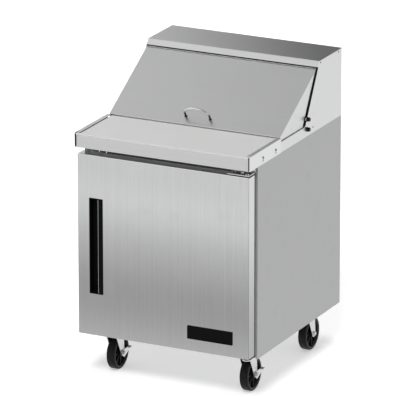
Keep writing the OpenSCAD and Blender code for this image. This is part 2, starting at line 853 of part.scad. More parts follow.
module hood_shell() {
  color(STEEL) {
    both_sides() prism_x(hood_profile, hood_hw - sheet, hood_hw);
    span([-hood_hw + sheet, slant_top[0], height - sheet], [hood_hw - sheet, y_rear, height]);
    span([-hood_hw + sheet, core_y1, apron_z], [hood_hw - sheet, y_rear, height - sheet]);
    prism_x([slant(0, 0), slant(hood_strip, 0), slant(hood_strip, -sheet), slant(sheet, -sheet)],
      -hood_hw + sheet, hood_hw - sheet);
  }
}

// Strip on the hood's slant between two distances down it
module slant_strip(s0, s1, out0, out1, x0, x1) {
  prism_x([slant(s0, out0), slant(s1, out0), slant(s1, out1), slant(s0, out1)], x0, x1);
}

module hood_liner() {
  edge_s1 = slant_l + 2.2;
  color(BRIGHT) {
    difference() {
      prism_x(hood_room(hood_wall - sheet, sheet), -hood_in_hw - sheet, hood_in_hw + sheet);
      prism_x(hood_room(hood_wall, -20), -hood_in_hw, hood_in_hw);
      span([-half_w, y_front, counter_z - 1], [half_w, slant_foot[0] + 12, counter_z + 60]);
    }
    slant_strip(hood_strip, header_s, -sheet, 0, -hood_hw + sheet, hood_hw - sheet);
    both_sides() slant_strip(header_s - eps, edge_s1, -sheet, 0, hood_in_hw, hood_hw - sheet);
  }
}

module hood_insulation() {
  color(FOAM) difference() {
    prism_x(hood_room(sheet, sheet), -hood_hw + sheet, hood_hw - sheet);
    prism_x(hood_room(hood_wall - sheet, -20), -hood_in_hw - sheet, hood_in_hw + sheet);
  }
}

// Black seal on the slant: a wedge strip down each side, and a low strip between fascia and hinge
module hood_seal() {
  side_s0 = lid_top_s + 3;
  side_s1 = slant_l + 1;
  strip_s0 = hood_strip + 1;
  strip_s1 = hinge_s - knuckle_r - 1.2;
  strip_h = 1.8;
  top_out = seal_top_gap - rub_gap;
  foot_out = seal_foot_gap - 2 * rub_gap;
  outer = hood_hw - sheet;
  color(BLACK) {
    both_sides() {
      prism_x([slant(side_s0, 0), slant(side_s1, 0), slant(side_s1, foot_out), slant(side_s0, top_out)],
        hood_hw - side_seal_w, outer);
      slant_strip(strip_s1 - eps, side_s0 + eps, 0, strip_h, hinge_hw + 2, outer);
    }
    slant_strip(strip_s0, strip_s1, 0, strip_h, -outer, outer);
  }
}

thumb_y = slant_foot[0] + 19;
thumb_z = [lid_z + 21.5, apron_z + 26];
thumb_r = 7.8;
thumb_l = 10.5;
thumb_washer = 1.2;

// Knurled thumb screws in the hood's sides
module hood_thumb_screws() {
  flutes = 16;
  flute_r = 0.9;
  flute_at = thumb_r + 0.3;
  shoulder = 1.5;
  x0 = hood_hw + thumb_washer;
  x1 = x0 + thumb_l;
  color(BLACK) both_sides() for (z = thumb_z) difference() {
    union() {
      rod_x(thumb_r, x0 + shoulder, x1 - shoulder, thumb_y, z);
      rod_x(thumb_r - shoulder, x0, x1, thumb_y, z);
    }
    for (i = [0:flutes - 1]) let(a = i * 360 / flutes)
      rod_x(flute_r, x0 - 1, x1 + 1, thumb_y + flute_at * cos(a), z + flute_at * sin(a));
  }
}

// Full-length hinge leaf: a strip with a knuckle in every second slot along X
module hinge_leaf(first, strip_side, knuckle_side, bore) {
  prism_x(strip_side, -hinge_hw, hinge_hw);
  for (k = [first:2:knuckles - 1]) let(x0 = -hinge_hw + k * knuckle_l + knuckle_gap)
    difference() {
      union() {
        rod_x(knuckle_r, x0, x0 + knuckle_l - 2 * knuckle_gap, hinge_axis[0], hinge_axis[1]);
        prism_x(knuckle_side, x0, x0 + knuckle_l - 2 * knuckle_gap);
      }
      rod_x(bore, x0 - 1, x0 + knuckle_l, hinge_axis[0], hinge_axis[1]);
    }
}

module hood_hinge_leaves() {
  s1 = hinge_s + leaf_l;
  function leaf_side(s0) = [slant(s0, 0), slant(s1, 0), slant(s1, leaf_t), slant(s0, leaf_t)];
  bore = hinge_pin_r + run_fit / 2;
  color(BRIGHT) hinge_leaf(0, leaf_side(hinge_s + leaf_clear), leaf_side(hinge_s - leaf_lap), bore);
}

module lid_hinge_leaves() {
  tip = lid_top - lid_rear_dir * hinge_rise + leaf_gap * lid_rear_out;
  heel = lid_top + lid_rear_dir * leaf_l + leaf_gap * lid_rear_out;
  lift = leaf_t * lid_rear_out;
  function leaf_side(top) = [top, heel, heel + lift, top + lift];
  bore = hinge_pin_r + run_fit;
  color(BRIGHT) hinge_leaf(1, leaf_side(tip + lid_rear_dir * leaf_clear), leaf_side(tip), bore);
}

module lid_hinge_pin() {
  head_r = knuckle_r - 0.2;
  head_l = 1.6;
  end = hinge_hw + 1;
  color(BRIGHT) {
    rod_x(hinge_pin_r, -end, end, hinge_axis[0], hinge_axis[1]);
    both_sides() rod_x(head_r, end - head_l / 2, end + head_l / 2, hinge_axis[0], hinge_axis[1]);
  }
}

// Rubber pads on the counter under the lid's front flange
module lid_bumpers() {
  pad_r = 7;
  pad_y = lid_front[0] + 14;
  color(BLACK) for (x = [-1, 1]) translate([x * (lid_hw - 40), pad_y, counter_z]) {
    cylinder(r = pad_r, h = 3);
    cylinder(r = pad_r - 2, h = lid_lip_z - counter_z - rub_gap);
  }
}

// Lid

module lid_skin() {
  side = [lid_top, lid_front, [lid_front[0], lid_lip_z], [lid_front[0] + lid_toe, lid_z], lid_rear_foot];
  face = [lid_top, lid_front, [lid_front[0], lid_lip_z], [lid_front[0] + sheet, lid_lip_z],
    lid_at_y(lid_front[0] + sheet, sheet), lid_rear(sheet, 0)];
  color(STEEL) difference() {
    union() {
      both_sides() prism_x(side, lid_hw - sheet, lid_hw);
      prism_x(face, -lid_hw + sheet - eps, lid_hw - sheet + eps);
    }
    for (x = [-1, 1]) grip_frame() translate([x * grip_spread / 2, 0, -10])
      cylinder(r = grip_stud_r + fit, h = 20);
  }
}

module lid_liner() {
  color(BRIGHT) difference() {
    prism_x(lid_slab(sheet, lid_t, 0, sheet, 0), -lid_hw + sheet, lid_hw - sheet);
    prism_x(lid_slab(sheet - 1, lid_t - sheet, sheet, sheet - 1, sheet), -lid_hw, lid_hw);
  }
}

module lid_insulation() {
  color(FOAM) difference() {
    prism_x(lid_slab(sheet + foam_gap, lid_t - sheet - foam_gap, sheet + foam_gap, sheet, sheet),
      -lid_hw + sheet, lid_hw - sheet);
    for (x = [-1, 1]) grip_frame() translate([x * grip_spread / 2, 0, -lid_t])
      cylinder(r = grip_stud_r + 1, h = lid_t);
  }
}

grip_t = 7;
grip_stud_r = 3;
grip_splay = 3;
grip_at = lid_front - lid_dir * grip_back;

// Frame on the lid's slope: x along X, y up the slope, z out of it
module grip_frame() {
  translate([0, grip_at[0], grip_at[1]]) rotate([atan2(-lid_dir[1], -lid_dir[0]), 0, 0]) children();
}

// Bow handle: splayed legs with feet, and an arch between its corners
module lid_handle() {
  half = grip_spread / 2;
  corner = half + grip_splay;
  bow_r = (corner * corner + grip_bow * grip_bow) / (2 * grip_bow);
  bow_a = asin(corner / bow_r);
  steps = 12;
  centre = grip_leg + grip_bow - bow_r;
  arc_out = [for (i = [-steps:steps]) let(a = bow_a * i / steps) [bow_r * sin(a), centre + bow_r * cos(a)]];
  arc_in = [for (i = [-steps:steps]) let(a = -bow_a * i / steps)
    [(bow_r - grip_t) * sin(a), centre + (bow_r - grip_t) * cos(a)]];
  color(BRIGHT) grip_frame() {
    translate([0, grip_t / 2, 0]) rotate([90, 0, 0]) linear_extrude(grip_t) {
      polygon(concat(arc_out, arc_in));
      for (x = [-1, 1]) polygon([
        [x * (half - grip_t / 2), 0], [x * (half + grip_t / 2), 0], [x * corner, grip_leg],
        [x * (corner - grip_t * 0.9), grip_leg - grip_t * 0.4]
      ]);
    }
    for (x = [-1, 1]) translate([x * half, 0, 0]) {
      cylinder(r = grip_t * 0.8, h = 2);
      translate([0, 0, 4 - lid_t]) cylinder(r = grip_stud_r, h = lid_t - 4 + eps);
    }
  }
}

// Door

pull_box = [[pull_x, door_z0 + pull_z], [pull_x + pull_w, door_z0 + pull_z + pull_h]];

module door_skin() {
  color(STEEL) difference() {
    span([-door_hw, door_y0, door_z0], [door_hw, door_y1, door_z1]);
    span([-door_hw + sheet, door_y0 + sheet, door_z0 + sheet],
      [door_hw - sheet, door_y1 + 1, door_z1 - sheet]);
    round_plate_xz(pull_box[0][0] + pull_rim, pull_box[1][0] - pull_rim, pull_box[0][1] + pull_rim,
      pull_box[1][1] - pull_rim, door_y0 - 1, door_y0 + 2 * sheet, 2);
    translate([door_pin_x, door_pin_y, door_z0 - 1]) cylinder(r = bush_r, h = 1 + 2 * sheet);
    translate([door_pin_x, door_pin_y, door_z1 - 2 * sheet]) cylinder(r = bush_r, h = 1 + 2 * sheet);
  }
}

// Bores that the door's two bushes sit in
module bush_bores() {
  for (z = [door_z0, door_z1 - bush_l])
    translate([door_pin_x, door_pin_y, z]) cylinder(r = bush_r, h = bush_l);
}

// Liner pressed back in its middle, behind the line of the seal
module door_liner() {
  rim = 56;
  slope = 4;
  front = door_y1 - sheet - door_bead;
  color(BRIGHT) difference() {
    span([-door_hw + sheet, front, door_z0 + sheet], [door_hw - sheet, door_y1, door_z1 - sheet]);
    span([-door_hw + rim + slope, door_y1 - door_bead, door_z0 + rim + slope],
      [door_hw - rim - slope, door_y1 + 1, door_z1 - rim - slope]);
    both_sides() span([door_hw - rim, front - 1, door_z0], [door_hw, door_y1 - sheet, door_z1]);
    for (z = [door_z0, door_z1 - rim]) span([-door_hw, front - 1, z], [door_hw, door_y1 - sheet, z + rim]);
    bush_bores();
  }
}

module door_insulation() {
  color(FOAM) difference() {
    span([-door_hw + sheet, door_y0 + sheet, door_z0 + sheet],
      [door_hw - sheet, door_y1 - sheet - door_bead, door_z1 - sheet]);
    span([pull_box[0][0] + pull_rim, door_y0, pull_box[0][1] + pull_rim],
      [pull_box[1][0] - pull_rim, door_y0 + pull_d, pull_box[1][1] - pull_rim]);
    bush_bores();
  }
}

// One frame of the door seal's bellows, w wide about the seal's middle line
module seal_ring(w, y0, y1) {
  mid_x = seal_hw - seal_w / 2;
  mid_z0 = door_z0 + seal_inset + seal_w / 2;
  mid_z1 = door_z1 - seal_inset - seal_w / 2;
  difference() {
    span([-mid_x - w / 2, y0, mid_z0 - w / 2], [mid_x + w / 2, y1, mid_z1 + w / 2]);
    span([-mid_x + w / 2, y0 - 1, mid_z0 + w / 2], [mid_x - w / 2, y1 + 1, mid_z1 - w / 2]);
  }
}

module door_seal() {
  base_d = 5;
  head_d = 7;
  seal_y1 = cab_y - rub_gap;
  color(BLACK) {
    seal_ring(seal_w, door_y1, door_y1 + base_d);
    seal_ring(seal_w / 2, door_y1 + base_d - eps, seal_y1 - head_d + eps);
    seal_ring(seal_w - 3, seal_y1 - head_d, seal_y1);
  }
}

// Recessed pull: a moulded cup with a grip lip over a quarter of its mouth
module door_handle() {
  cup_t = 2;
  rim_t = 1;
  lip_t = 4;
  x0 = pull_box[0][0];
  x1 = pull_box[1][0];
  z0 = pull_box[0][1];
  z1 = pull_box[1][1];
  inner = pull_rim + cup_t;
  color(BLACK) difference() {
    union() {
      round_plate_xz(x0, x1, z0, z1, door_y0 - rim_t, door_y0, 2);
      round_plate_xz(x0 + pull_rim, x1 - pull_rim, z0 + pull_rim, z1 - pull_rim,
        door_y0 - eps, door_y0 + pull_d, 2);
    }
    span([x0 + inner, door_y0 - rim_t - 1, z0 + inner],
      [x1 - inner - pull_lip, door_y0 + pull_d - cup_t, z1 - inner]);
    span([x0 + inner, door_y0 + lip_t, z0 + inner], [x1 - inner, door_y0 + pull_d - cup_t, z1 - inner]);
  }
}

// Bare plate with a raised border
module door_plate() {
  plate_edge = 63.7;
  plate_lift = 46;
  plate_d = 2;
  border = 2.5;
  sink = 0.6;
  x0 = door_hw - plate_edge - plate_w;
  x1 = x0 + plate_w;
  z0 = door_z0 + plate_lift;
  z1 = z0 + plate_h;
  y0 = door_y0 - plate_d;
  color(BLACK) difference() {
    round_plate_xz(x0, x1, z0, z1, y0, door_y0, 3);
    round_plate_xz(x0 + border, x1 - border, z0 + border, z1 - border, y0 - 1, y0 + sink, 1.5);
  }
}

// Bushes in the door's ends; the lower one has a collar that rides on its bracket
module door_bushes() {
  color(BLACK) difference() {
    union() {
      bush_bores();
      translate([door_pin_x, door_pin_y, door_z0 - collar_h]) cylinder(r = collar_r, h = collar_h);
    }
    translate([door_pin_x, door_pin_y, door_z0 - collar_h - 1])
      cylinder(r = door_pin_r + run_fit, h = door_z1 - door_z0 + collar_h + 2);
  }
}

// Hinge brackets on the cabinet's front, each with its riveted pin
module door_hinge_brackets() {
  nose = 16;
  strap_x0 = door_pin_x - strap_l;
  strap_x1 = door_pin_x + nose - 2;
  top_z = door_z1 + bracket_gap;
  foot_z = door_z0 - foot_gap - bracket_t;
  color(BRIGHT) {
    span([strap_x0, door_pin_y - nose, top_z], [strap_x1, cab_y, top_z + bracket_t]);
    span([strap_x0, cab_y - bracket_t, top_z], [strap_x1, cab_y, apron_z - 2]);
    translate([door_pin_x, door_pin_y, door_z1 - door_pin_l])
      cylinder(r = door_pin_r, h = door_pin_l + bracket_gap + eps);
    translate([door_pin_x, door_pin_y, foot_z]) cylinder(r = nose, h = bracket_t);
    span([door_pin_x - nose, door_pin_y, foot_z], [door_pin_x + nose, cab_y, foot_z + bracket_t]);
    span([door_pin_x - nose, cab_y - bracket_t, cab_z], [door_pin_x + nose, cab_y, foot_z + eps]);
    translate([door_pin_x, door_pin_y, foot_z])
      cylinder(r = door_pin_r, h = bracket_t + foot_gap + door_pin_l);
  }
}

// Shelf

pilaster_y = [shelf_y0 + 30, shelf_y1 - 30];

module shelf_pilasters() {
  slot_pitch = 25;
  slot_w = 8;
  slot_h = 4;
  slots = 8;
  slot_lift = 12;
  foot_z = step_z + 10;
  top_z = foot_z + slots * slot_pitch + 20;
  color(STEEL) both_sides() for (y = pilaster_y) difference() {
    span([int_hw - pilaster_t, y - pilaster_w / 2, foot_z], [int_hw, y + pilaster_w / 2, top_z]);
    for (i = [0:slots - 1]) translate([int_hw - pilaster_t - 1, y - slot_w / 2, foot_z + slot_lift])
      translate([0, 0, i * slot_pitch]) cube([pilaster_t + 2, slot_w, slot_h]);
  }
}

module shelf_clips() {
  clip_z = shelf_z - shelf_rod_r;
  reach = 14;
  color(BRIGHT) both_sides() for (y = pilaster_y)
    translate([0, y + pilaster_w / 2, 0]) rotate([90, 0, 0]) linear_extrude(pilaster_w) polygon([
      [int_hw - pilaster_t, clip_z], [int_hw - pilaster_t - reach, clip_z],
      [int_hw - pilaster_t - reach, clip_z - 3], [int_hw - pilaster_t, clip_z - clip_h]
    ]);
}

module wire_shelf() {
  wire_z = shelf_z + shelf_rod_r + shelf_wire_r - 1;
  side_x = shelf_hw - shelf_rod_r;
  color(WHITE) {
    for (y = [shelf_y0, (shelf_y0 + shelf_y1) / 2, shelf_y1])
      rod_x(shelf_rod_r, -side_x, side_x, y, shelf_z);
    for (x = [-side_x, side_x]) rod_y(shelf_rod_r, shelf_y0, shelf_y1, x, shelf_z);
    for (x = [-side_x, side_x], y = [shelf_y0, shelf_y1])
      translate([x, y, shelf_z]) sphere(r = shelf_rod_r);
    for (i = [1:shelf_wires])
      rod_y(shelf_wire_r, shelf_y0 - 2, shelf_y1 + 2, -side_x + i * 2 * side_x / (shelf_wires + 1), wire_z);
  }
}

// Casters

corner_at = [
  [-caster_x, front_swivel_y], [caster_x, front_swivel_y],
  [-caster_x, rear_swivel_y], [caster_x, rear_swivel_y]
];

// Top plate with bolt slots, upper race and kingpin
module caster_plate() {
  plate_w = 66;
  plate_l = 94;
  bolt_x = 23;
  bolt_y = 37;
  bolt_r = 4.2;
  king_head = 2;
  king_z = crown_z - crown_t - king_head - rub_gap;
  difference() {
    union() {
      translate([0, 0, cab_z - plate_t]) linear_extrude(plate_t) round_rect(plate_w, plate_l, 8);
      translate([0, 0, cab_z - plate_t - race_h]) cylinder(r = race_r, h = race_h + eps);
      translate([0, 0, king_z]) cylinder(r = king_r, h = crown_t + king_head + race_h);
      translate([0, 0, king_z]) cylinder(r = king_r + 3, h = king_head);
    }
    for (x = [-1, 1], y = [-1, 1]) translate([x * bolt_x, y * bolt_y, cab_z - plate_t - 1])
      cylinder(r = bolt_r, h = plate_t + 2);
  }
}

module caster_plates() {
  color(STEEL) for (p = corner_at) translate([p[0], p[1], 0]) caster_plate();
}

// Fork of pressed steel about the swivel axis, with its axle bolt; spacing is the room for a brake lever
module fork(spacing) {
  boss_r = 13;
  leg_top = crown_z - crown_t / 2;
  leg_front = -race_r + 4;
  leg_rear = race_r + 6;
  head_l = 5;
  head_r = 9;
  color(BRIGHT) {
    difference() {
      union() {
        translate([0, 0, crown_z - crown_t]) linear_extrude(crown_t) {
          circle(race_r);
          translate([-fork_out, leg_front]) square([2 * fork_out, leg_rear - leg_front]);
        }
        both_sides() difference() {
          union() {
            prism_x([
              [leg_front, leg_top], [leg_rear, leg_top],
              [trail + boss_r, axle_z], [trail - boss_r, axle_z - 2]
            ], fork_in, fork_out);
            rod_x(boss_r, fork_in, fork_out, trail, axle_z);
          }
          rod_x(axle_r + run_fit, fork_in - 1, fork_out + 1, trail, axle_z);
        }
      }
      translate([0, 0, crown_z - crown_t - 1]) cylinder(r = king_r + run_fit, h = crown_t + 2);
    }
    rod_x(axle_r, -fork_out - head_l, fork_out + spacing + head_l + 2, trail, axle_z);
    for (x = [-fork_out - head_l, fork_out + spacing]) translate([x, trail, axle_z]) rotate([0, 90, 0])
      cylinder(r = head_r, h = head_l, $fn = 6);
  }
}

// Wheel with a moulded tread, rim ring, ribbed web and hub
module wheel() {
  r = wheel_d / 2;
  tread_edge = 6;
  band = 11.5;
  rim_r = r - band;
  bead_w = 3;
  bead_h = 0.8;
  web_hw = 5;
  ribs = 8;
  rib_t = 5;
  rib_in = 5;
  hub_hw = fork_in - hub_gap;
  color(BLACK) translate([0, trail, axle_z]) difference() {
    union() {
      rotate([0, 90, 0]) rotate_extrude($fn = 96) difference() {
        union() {
          translate([rim_r, -wheel_w / 2]) square([band - tread_edge, wheel_w]);
          translate([rim_r, -wheel_w / 2 - bead_h]) square([bead_w, wheel_w + 2 * bead_h]);
          translate([rim_r, -wheel_w / 2 + tread_edge]) square([band, wheel_w - 2 * tread_edge]);
          for (z = [-1, 1]) translate([r - tread_edge, z * (wheel_w / 2 - tread_edge)]) circle(tread_edge);
          translate([0, -web_hw]) square([rim_r + 1, 2 * web_hw]);
          translate([0, -hub_hw]) square([hub_r, 2 * hub_hw]);
        }
        translate([-r, -wheel_w]) square([r, 2 * wheel_w]);
      }
      for (i = [0:ribs - 1]) rotate([i * 360 / ribs, 0, 0])
        translate([-wheel_w / 2 + rib_in, -rib_t / 2, hub_r - 3])
          cube([wheel_w - 2 * rib_in, rib_t, rim_r - hub_r + 4]);
    }
    rod_x(axle_r + run_fit, -wheel_w, wheel_w, 0, 0);
  }
}

// Brake lever beside the fork: a plate with a toe under the axle and a foot tread behind the wheel
module brake_lever() {
  boss_r = 12;
  toe = [2, -20];
  x0 = fork_out + hub_gap;
  color(STEEL) translate([0, trail, axle_z]) rotate([lever_tilt, 0, 0]) difference() {
    union() {
      rod_x(boss_r, x0, x0 + lever_t, 0, 0);
      prism_x([
        [-4, boss_r - 1], [-boss_r, -2], toe, [lever_l, -lever_w / 2], [lever_l, lever_w / 2]
      ], x0, x0 + lever_t);
      span([x0, lever_l - tread_l, lever_w / 2 - lever_t], [x0 + tread_w, lever_l, lever_w / 2]);
    }
    rod_x(axle_r + run_fit, x0 - 1, x0 + lever_t + 1, 0, 0);
  }
}

module at_corner(i) {
  translate([corner_at[i][0], corner_at[i][1], 0]) children();
}

side_panel_left();
side_panel_right();
back_panel();
base_panel();
front_frame();
inner_liner();
cabinet_insulation();
bay_panel();
rear_grille();
compressor();
condenser_coil();
condenser_shroud();
drain_pan();
evaporator_coil();
evaporator_cover();
counter_top();
pan_divider_bars();
front_pans();
rear_pans();
board_tray();
case_screws();
hood_shell();
hood_liner();
hood_insulation();
hood_seal();
hood_thumb_screws();
hood_hinge_leaves();
lid_hinge_pin();
lid_bumpers();
door_hinge_brackets();
shelf_pilasters();
shelf_clips();
wire_shelf();
caster_plates();
cutting_board();
lid_skin();
lid_liner();
lid_insulation();
lid_handle();
lid_hinge_leaves();
door_skin();
door_liner();
door_insulation();
door_seal();
door_handle();
door_plate();
door_bushes();
condenser_fan();
evaporator_fan();
thermostat_knob();
at_corner(0) fork(brake_room);  // fork_front_left
at_corner(1) fork(brake_room);  // fork_front_right
at_corner(2) fork(0);  // fork_rear_left
at_corner(3) fork(0);  // fork_rear_right
at_corner(0) wheel();  // wheel_front_left
at_corner(1) wheel();  // wheel_front_right
at_corner(2) wheel();  // wheel_rear_left
at_corner(3) wheel();  // wheel_rear_right
at_corner(0) brake_lever();  // brake_left
at_corner(1) brake_lever();  // brake_right
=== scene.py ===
# %% [markdown]
# # A refrigerated sandwich prep table
# The table's solids are loaded first and never moved. Each step after that gives one piece of
# the real table its finish or its fine shape. The prep table is mostly folded stainless sheet,
# so the lesson spends its time on brushed steel, soft folds and what is seen in them.

import json
import math

import bmesh
import bpy
from mathutils import Matrix, Vector


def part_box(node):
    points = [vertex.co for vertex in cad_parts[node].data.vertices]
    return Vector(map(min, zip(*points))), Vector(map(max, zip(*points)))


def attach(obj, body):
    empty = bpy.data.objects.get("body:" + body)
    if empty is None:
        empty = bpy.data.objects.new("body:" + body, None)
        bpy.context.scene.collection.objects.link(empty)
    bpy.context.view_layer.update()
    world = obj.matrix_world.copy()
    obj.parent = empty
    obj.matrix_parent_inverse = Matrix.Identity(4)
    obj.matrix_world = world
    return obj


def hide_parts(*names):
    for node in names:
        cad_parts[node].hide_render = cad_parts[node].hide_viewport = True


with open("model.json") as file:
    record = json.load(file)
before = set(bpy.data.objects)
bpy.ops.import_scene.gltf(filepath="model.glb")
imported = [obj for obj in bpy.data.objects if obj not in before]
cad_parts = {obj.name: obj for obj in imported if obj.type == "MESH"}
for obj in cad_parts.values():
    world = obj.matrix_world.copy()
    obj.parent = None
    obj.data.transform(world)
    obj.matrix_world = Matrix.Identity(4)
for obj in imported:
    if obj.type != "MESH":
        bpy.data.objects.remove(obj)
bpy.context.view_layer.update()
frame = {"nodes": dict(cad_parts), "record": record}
nodes = frame["nodes"]
record = frame["record"]
body_of_node = {node: body for body, names in record["behaviour"]["bodies"].items() for node in names}
slot_of_node = {subpart["node"]: subpart["material_slot"] for subpart in record["subparts"]}
MM = 0.001

# %% [markdown]
# ## The camera
# The photograph is almost a parallel view, taken from far away with a long lens. A camera with
# the same direction, distance and lens is made first, so that each later step can be compared
# with the photograph. The lens is given in pixels of the photograph's frame and turned into
# millimetres on Blender's 36 mm sensor.

# %% Camera at the photograph's angle
PHOTO_SIZE = 416
FOCAL_PIXELS = 5095.7
SENSOR = 36.0
CAMERA_TARGET = Vector((-12.3, 11.7, 587.0)) * MM
CAMERA_AZIMUTH = math.radians(26.06)
CAMERA_ELEVATION = math.radians(17.81)
CAMERA_DISTANCE = 18616 * MM
CAMERA_FAR_END = 200.0


def new_object(name, data):
    """An object of the scene that holds a mesh, a curve, a camera or a lamp."""
    made = bpy.data.objects.new(name, data)
    bpy.context.scene.collection.objects.link(made)
    return made


view_back = Vector((
    math.sin(CAMERA_AZIMUTH) * math.cos(CAMERA_ELEVATION),
    -math.cos(CAMERA_AZIMUTH) * math.cos(CAMERA_ELEVATION),
    math.sin(CAMERA_ELEVATION),
))
camera = new_object("camera", bpy.data.cameras.new("camera"))
camera.data.sensor_width = SENSOR
camera.data.lens = FOCAL_PIXELS * SENSOR / PHOTO_SIZE
camera.data.clip_end = CAMERA_FAR_END
camera.location = CAMERA_TARGET + view_back * CAMERA_DISTANCE
camera.rotation_mode = "QUATERNION"
camera.rotation_quaternion = (-view_back).to_track_quat("-Z", "Y")
bpy.context.scene.camera = camera
bpy.context.scene.view_settings.view_transform = "Standard"
print("camera lens:", round(camera.data.lens, 1), "mm")

# %% [markdown]
# ## Shader maths as Python
# A material is a graph of small nodes. Writing that graph link by link hides the idea, so one
# small class wraps a socket and lets it be added or multiplied like a number. Each operator
# adds one Math node, and every other kind of node comes from the method called node.


# %% A socket that can be used in sums
class Wire:
    """An output socket of a node tree that takes part in Python expressions."""

    def __init__(self, tree, socket):
        self.tree = tree
        self.socket = socket

    def node(self, kind, settings, sockets, output=0):
        """Adds a node: its settings first, then the values or links of its sockets."""
        made = self.tree.nodes.new(kind)
        for name, value in settings.items():
            if name == "stops":
                fill_ramp(made.color_ramp, value)
            else:
                setattr(made, name, value)
        for name, value in sockets.items():
            if isinstance(value, Wire):
                self.tree.links.new(value.socket, made.inputs[name])
            else:
                made.inputs[name].default_value = value
        return Wire(self.tree, made.outputs[output])

    def math(self, operation, a, b=0.0):
        return self.node("ShaderNodeMath", {"operation": operation}, {0: a, 1: b})

    def __add__(self, other):
        return self.math("ADD", self, other)

    def __sub__(self, other):
        return self.math("SUBTRACT", self, other)

    def __mul__(self, other):
        return self.math("MULTIPLY", self, other)

    def __truediv__(self, other):
        return self.math("DIVIDE", self, other)

    def __rsub__(self, other):
        return self.math("SUBTRACT", other, self)

    def __rtruediv__(self, other):
        return self.math("DIVIDE", other, self)

    __radd__ = __add__
    __rmul__ = __mul__

    def larger(self, other):
        return self.math("MAXIMUM", self, other)

    def ramp(self, *stops):
        """Grey values at places along 0 to 1."""
        return self.node("ShaderNodeValToRGB", {"stops": stops}, {"Fac": self})

    def step(self, low, high):
        """0 below low, 1 above high and smooth between."""
        settings = {"interpolation_type": "SMOOTHSTEP"}
        values = {"Value": self, "From Min": low, "From Max": high}
        return self.node("ShaderNodeMapRange", settings, values)

    def blend(self, first, second):
        """The first colour where this wire is 0 and the second where it is 1."""
        values = {0: self, 6: first, 7: second}
        return self.node("ShaderNodeMix", {"data_type": "RGBA"}, values, output=2)


def fill_ramp(ramp, stops):
    while len(ramp.elements) < len(stops):
        ramp.elements.new(1.0)
    for element, (place, grey) in zip(ramp.elements, stops):
        element.position = place
        element.color = (grey, grey, grey, 1)


print("Wire has", len([name for name in vars(Wire) if not name.startswith("__")]), "named methods")

# %% [markdown]
# ## Making a finish
# Each finish starts from the same few lines: an empty material, a Principled shader and the
# object coordinates, which are metres in the table's own frame. Because every piece keeps its
# place in its mesh, a pattern in those coordinates runs on from one piece to the next.


# %% A blank finish and a few textures
def blank_finish(name):
    """A new material, its Principled node and a wire with the object coordinates."""
    material = bpy.data.materials.new(name)
    material.use_nodes = True
    tree = material.node_tree
    shader = tree.nodes["Principled BSDF"]
    place = tree.nodes.new("ShaderNodeTexCoord")
    return material, shader, Wire(tree, place.outputs["Object"])


def stretched(place, scale, turn=(0, 0, 0)):
    """Object coordinates turned and scaled along each axis, for streaks."""
    return place.node("ShaderNodeMapping", {}, {"Vector": place, "Scale": scale, "Rotation": turn})


def noise(place, scale, detail=2.0, rough=0.5):
    values = {"Vector": place, "Scale": scale, "Detail": detail, "Roughness": rough}
    return place.node("ShaderNodeTexNoise", {}, values)


def swing(pattern):
    """A noise about 0 instead of about its middle."""
    return pattern - 0.5


def axis_of(place, axis):
    return place.node("ShaderNodeSeparateXYZ", {}, {"Vector": place}, output=axis)


def set_finish(shader, **sockets):
    """Sets constants and links wires on a Principled node; names use _ for spaces."""
    for name, value in sockets.items():
        target = shader.inputs[name.replace("_", " ")]
        if isinstance(value, Wire):
            value.tree.links.new(value.socket, target)
        else:
            target.default_value = value


def grey(level, warm=0.0):
    """A grey colour, a little warmer or cooler."""
    return (level * (1 + warm), level, level * (1 - warm), 1)


def bump(height, strength, distance):
    values = {"Height": height, "Strength": strength, "Distance": distance}
    return height.node("ShaderNodeBump", {}, values)


FINISH = {}
print("finish helpers ready")

# %% [markdown]
# ## Brushed stainless steel
# Stainless sheet is ground with a belt, which leaves thousands of short parallel scratches.
# They could be an image, but a noise that is squeezed across the belt's direction and drawn
# out along it gives the same streaks at any size. The streaks change the colour and roughness
# a little and tilt the surface. A wide soft noise adds the cloudiness of handling, and a few
# rounder patches where hands touch the sheet are a little duller. The door's steel has painted
# shade that darkens it towards its foot. Its sides face away from the light, and they and the
# fold between front and side get painted shade, picked out by the surface's own direction.


# %% Brushed steel in two directions
STREAK_FINE = 1500.0
STREAK_LONG = 9.0
ALONG = {
    "x": (STREAK_LONG, STREAK_FINE, STREAK_FINE),
    "z": (STREAK_FINE, STREAK_FINE, STREAK_LONG),
}
BAND_SHARE = 0.15
CLOUD_SCALE = 5.0
CLOUD_TONE = 0.05
SMUDGE_SCALE = 14.0
SMUDGE_EDGE = (0.58, 0.72)
STREAK_DULL = 0.12
CLOUD_DULL = 0.06
SMUDGE_DULL = 0.04
STEEL_COOL = -0.004
# Between these heights in metres the painted shade at the door's foot fades out.
FOOT_SHADE_HEIGHT = (0.25, 0.75)
# The painted shade of a fold is darkest half way round, where it loses a quarter of this share.
CREASE_SHADE = 1.6


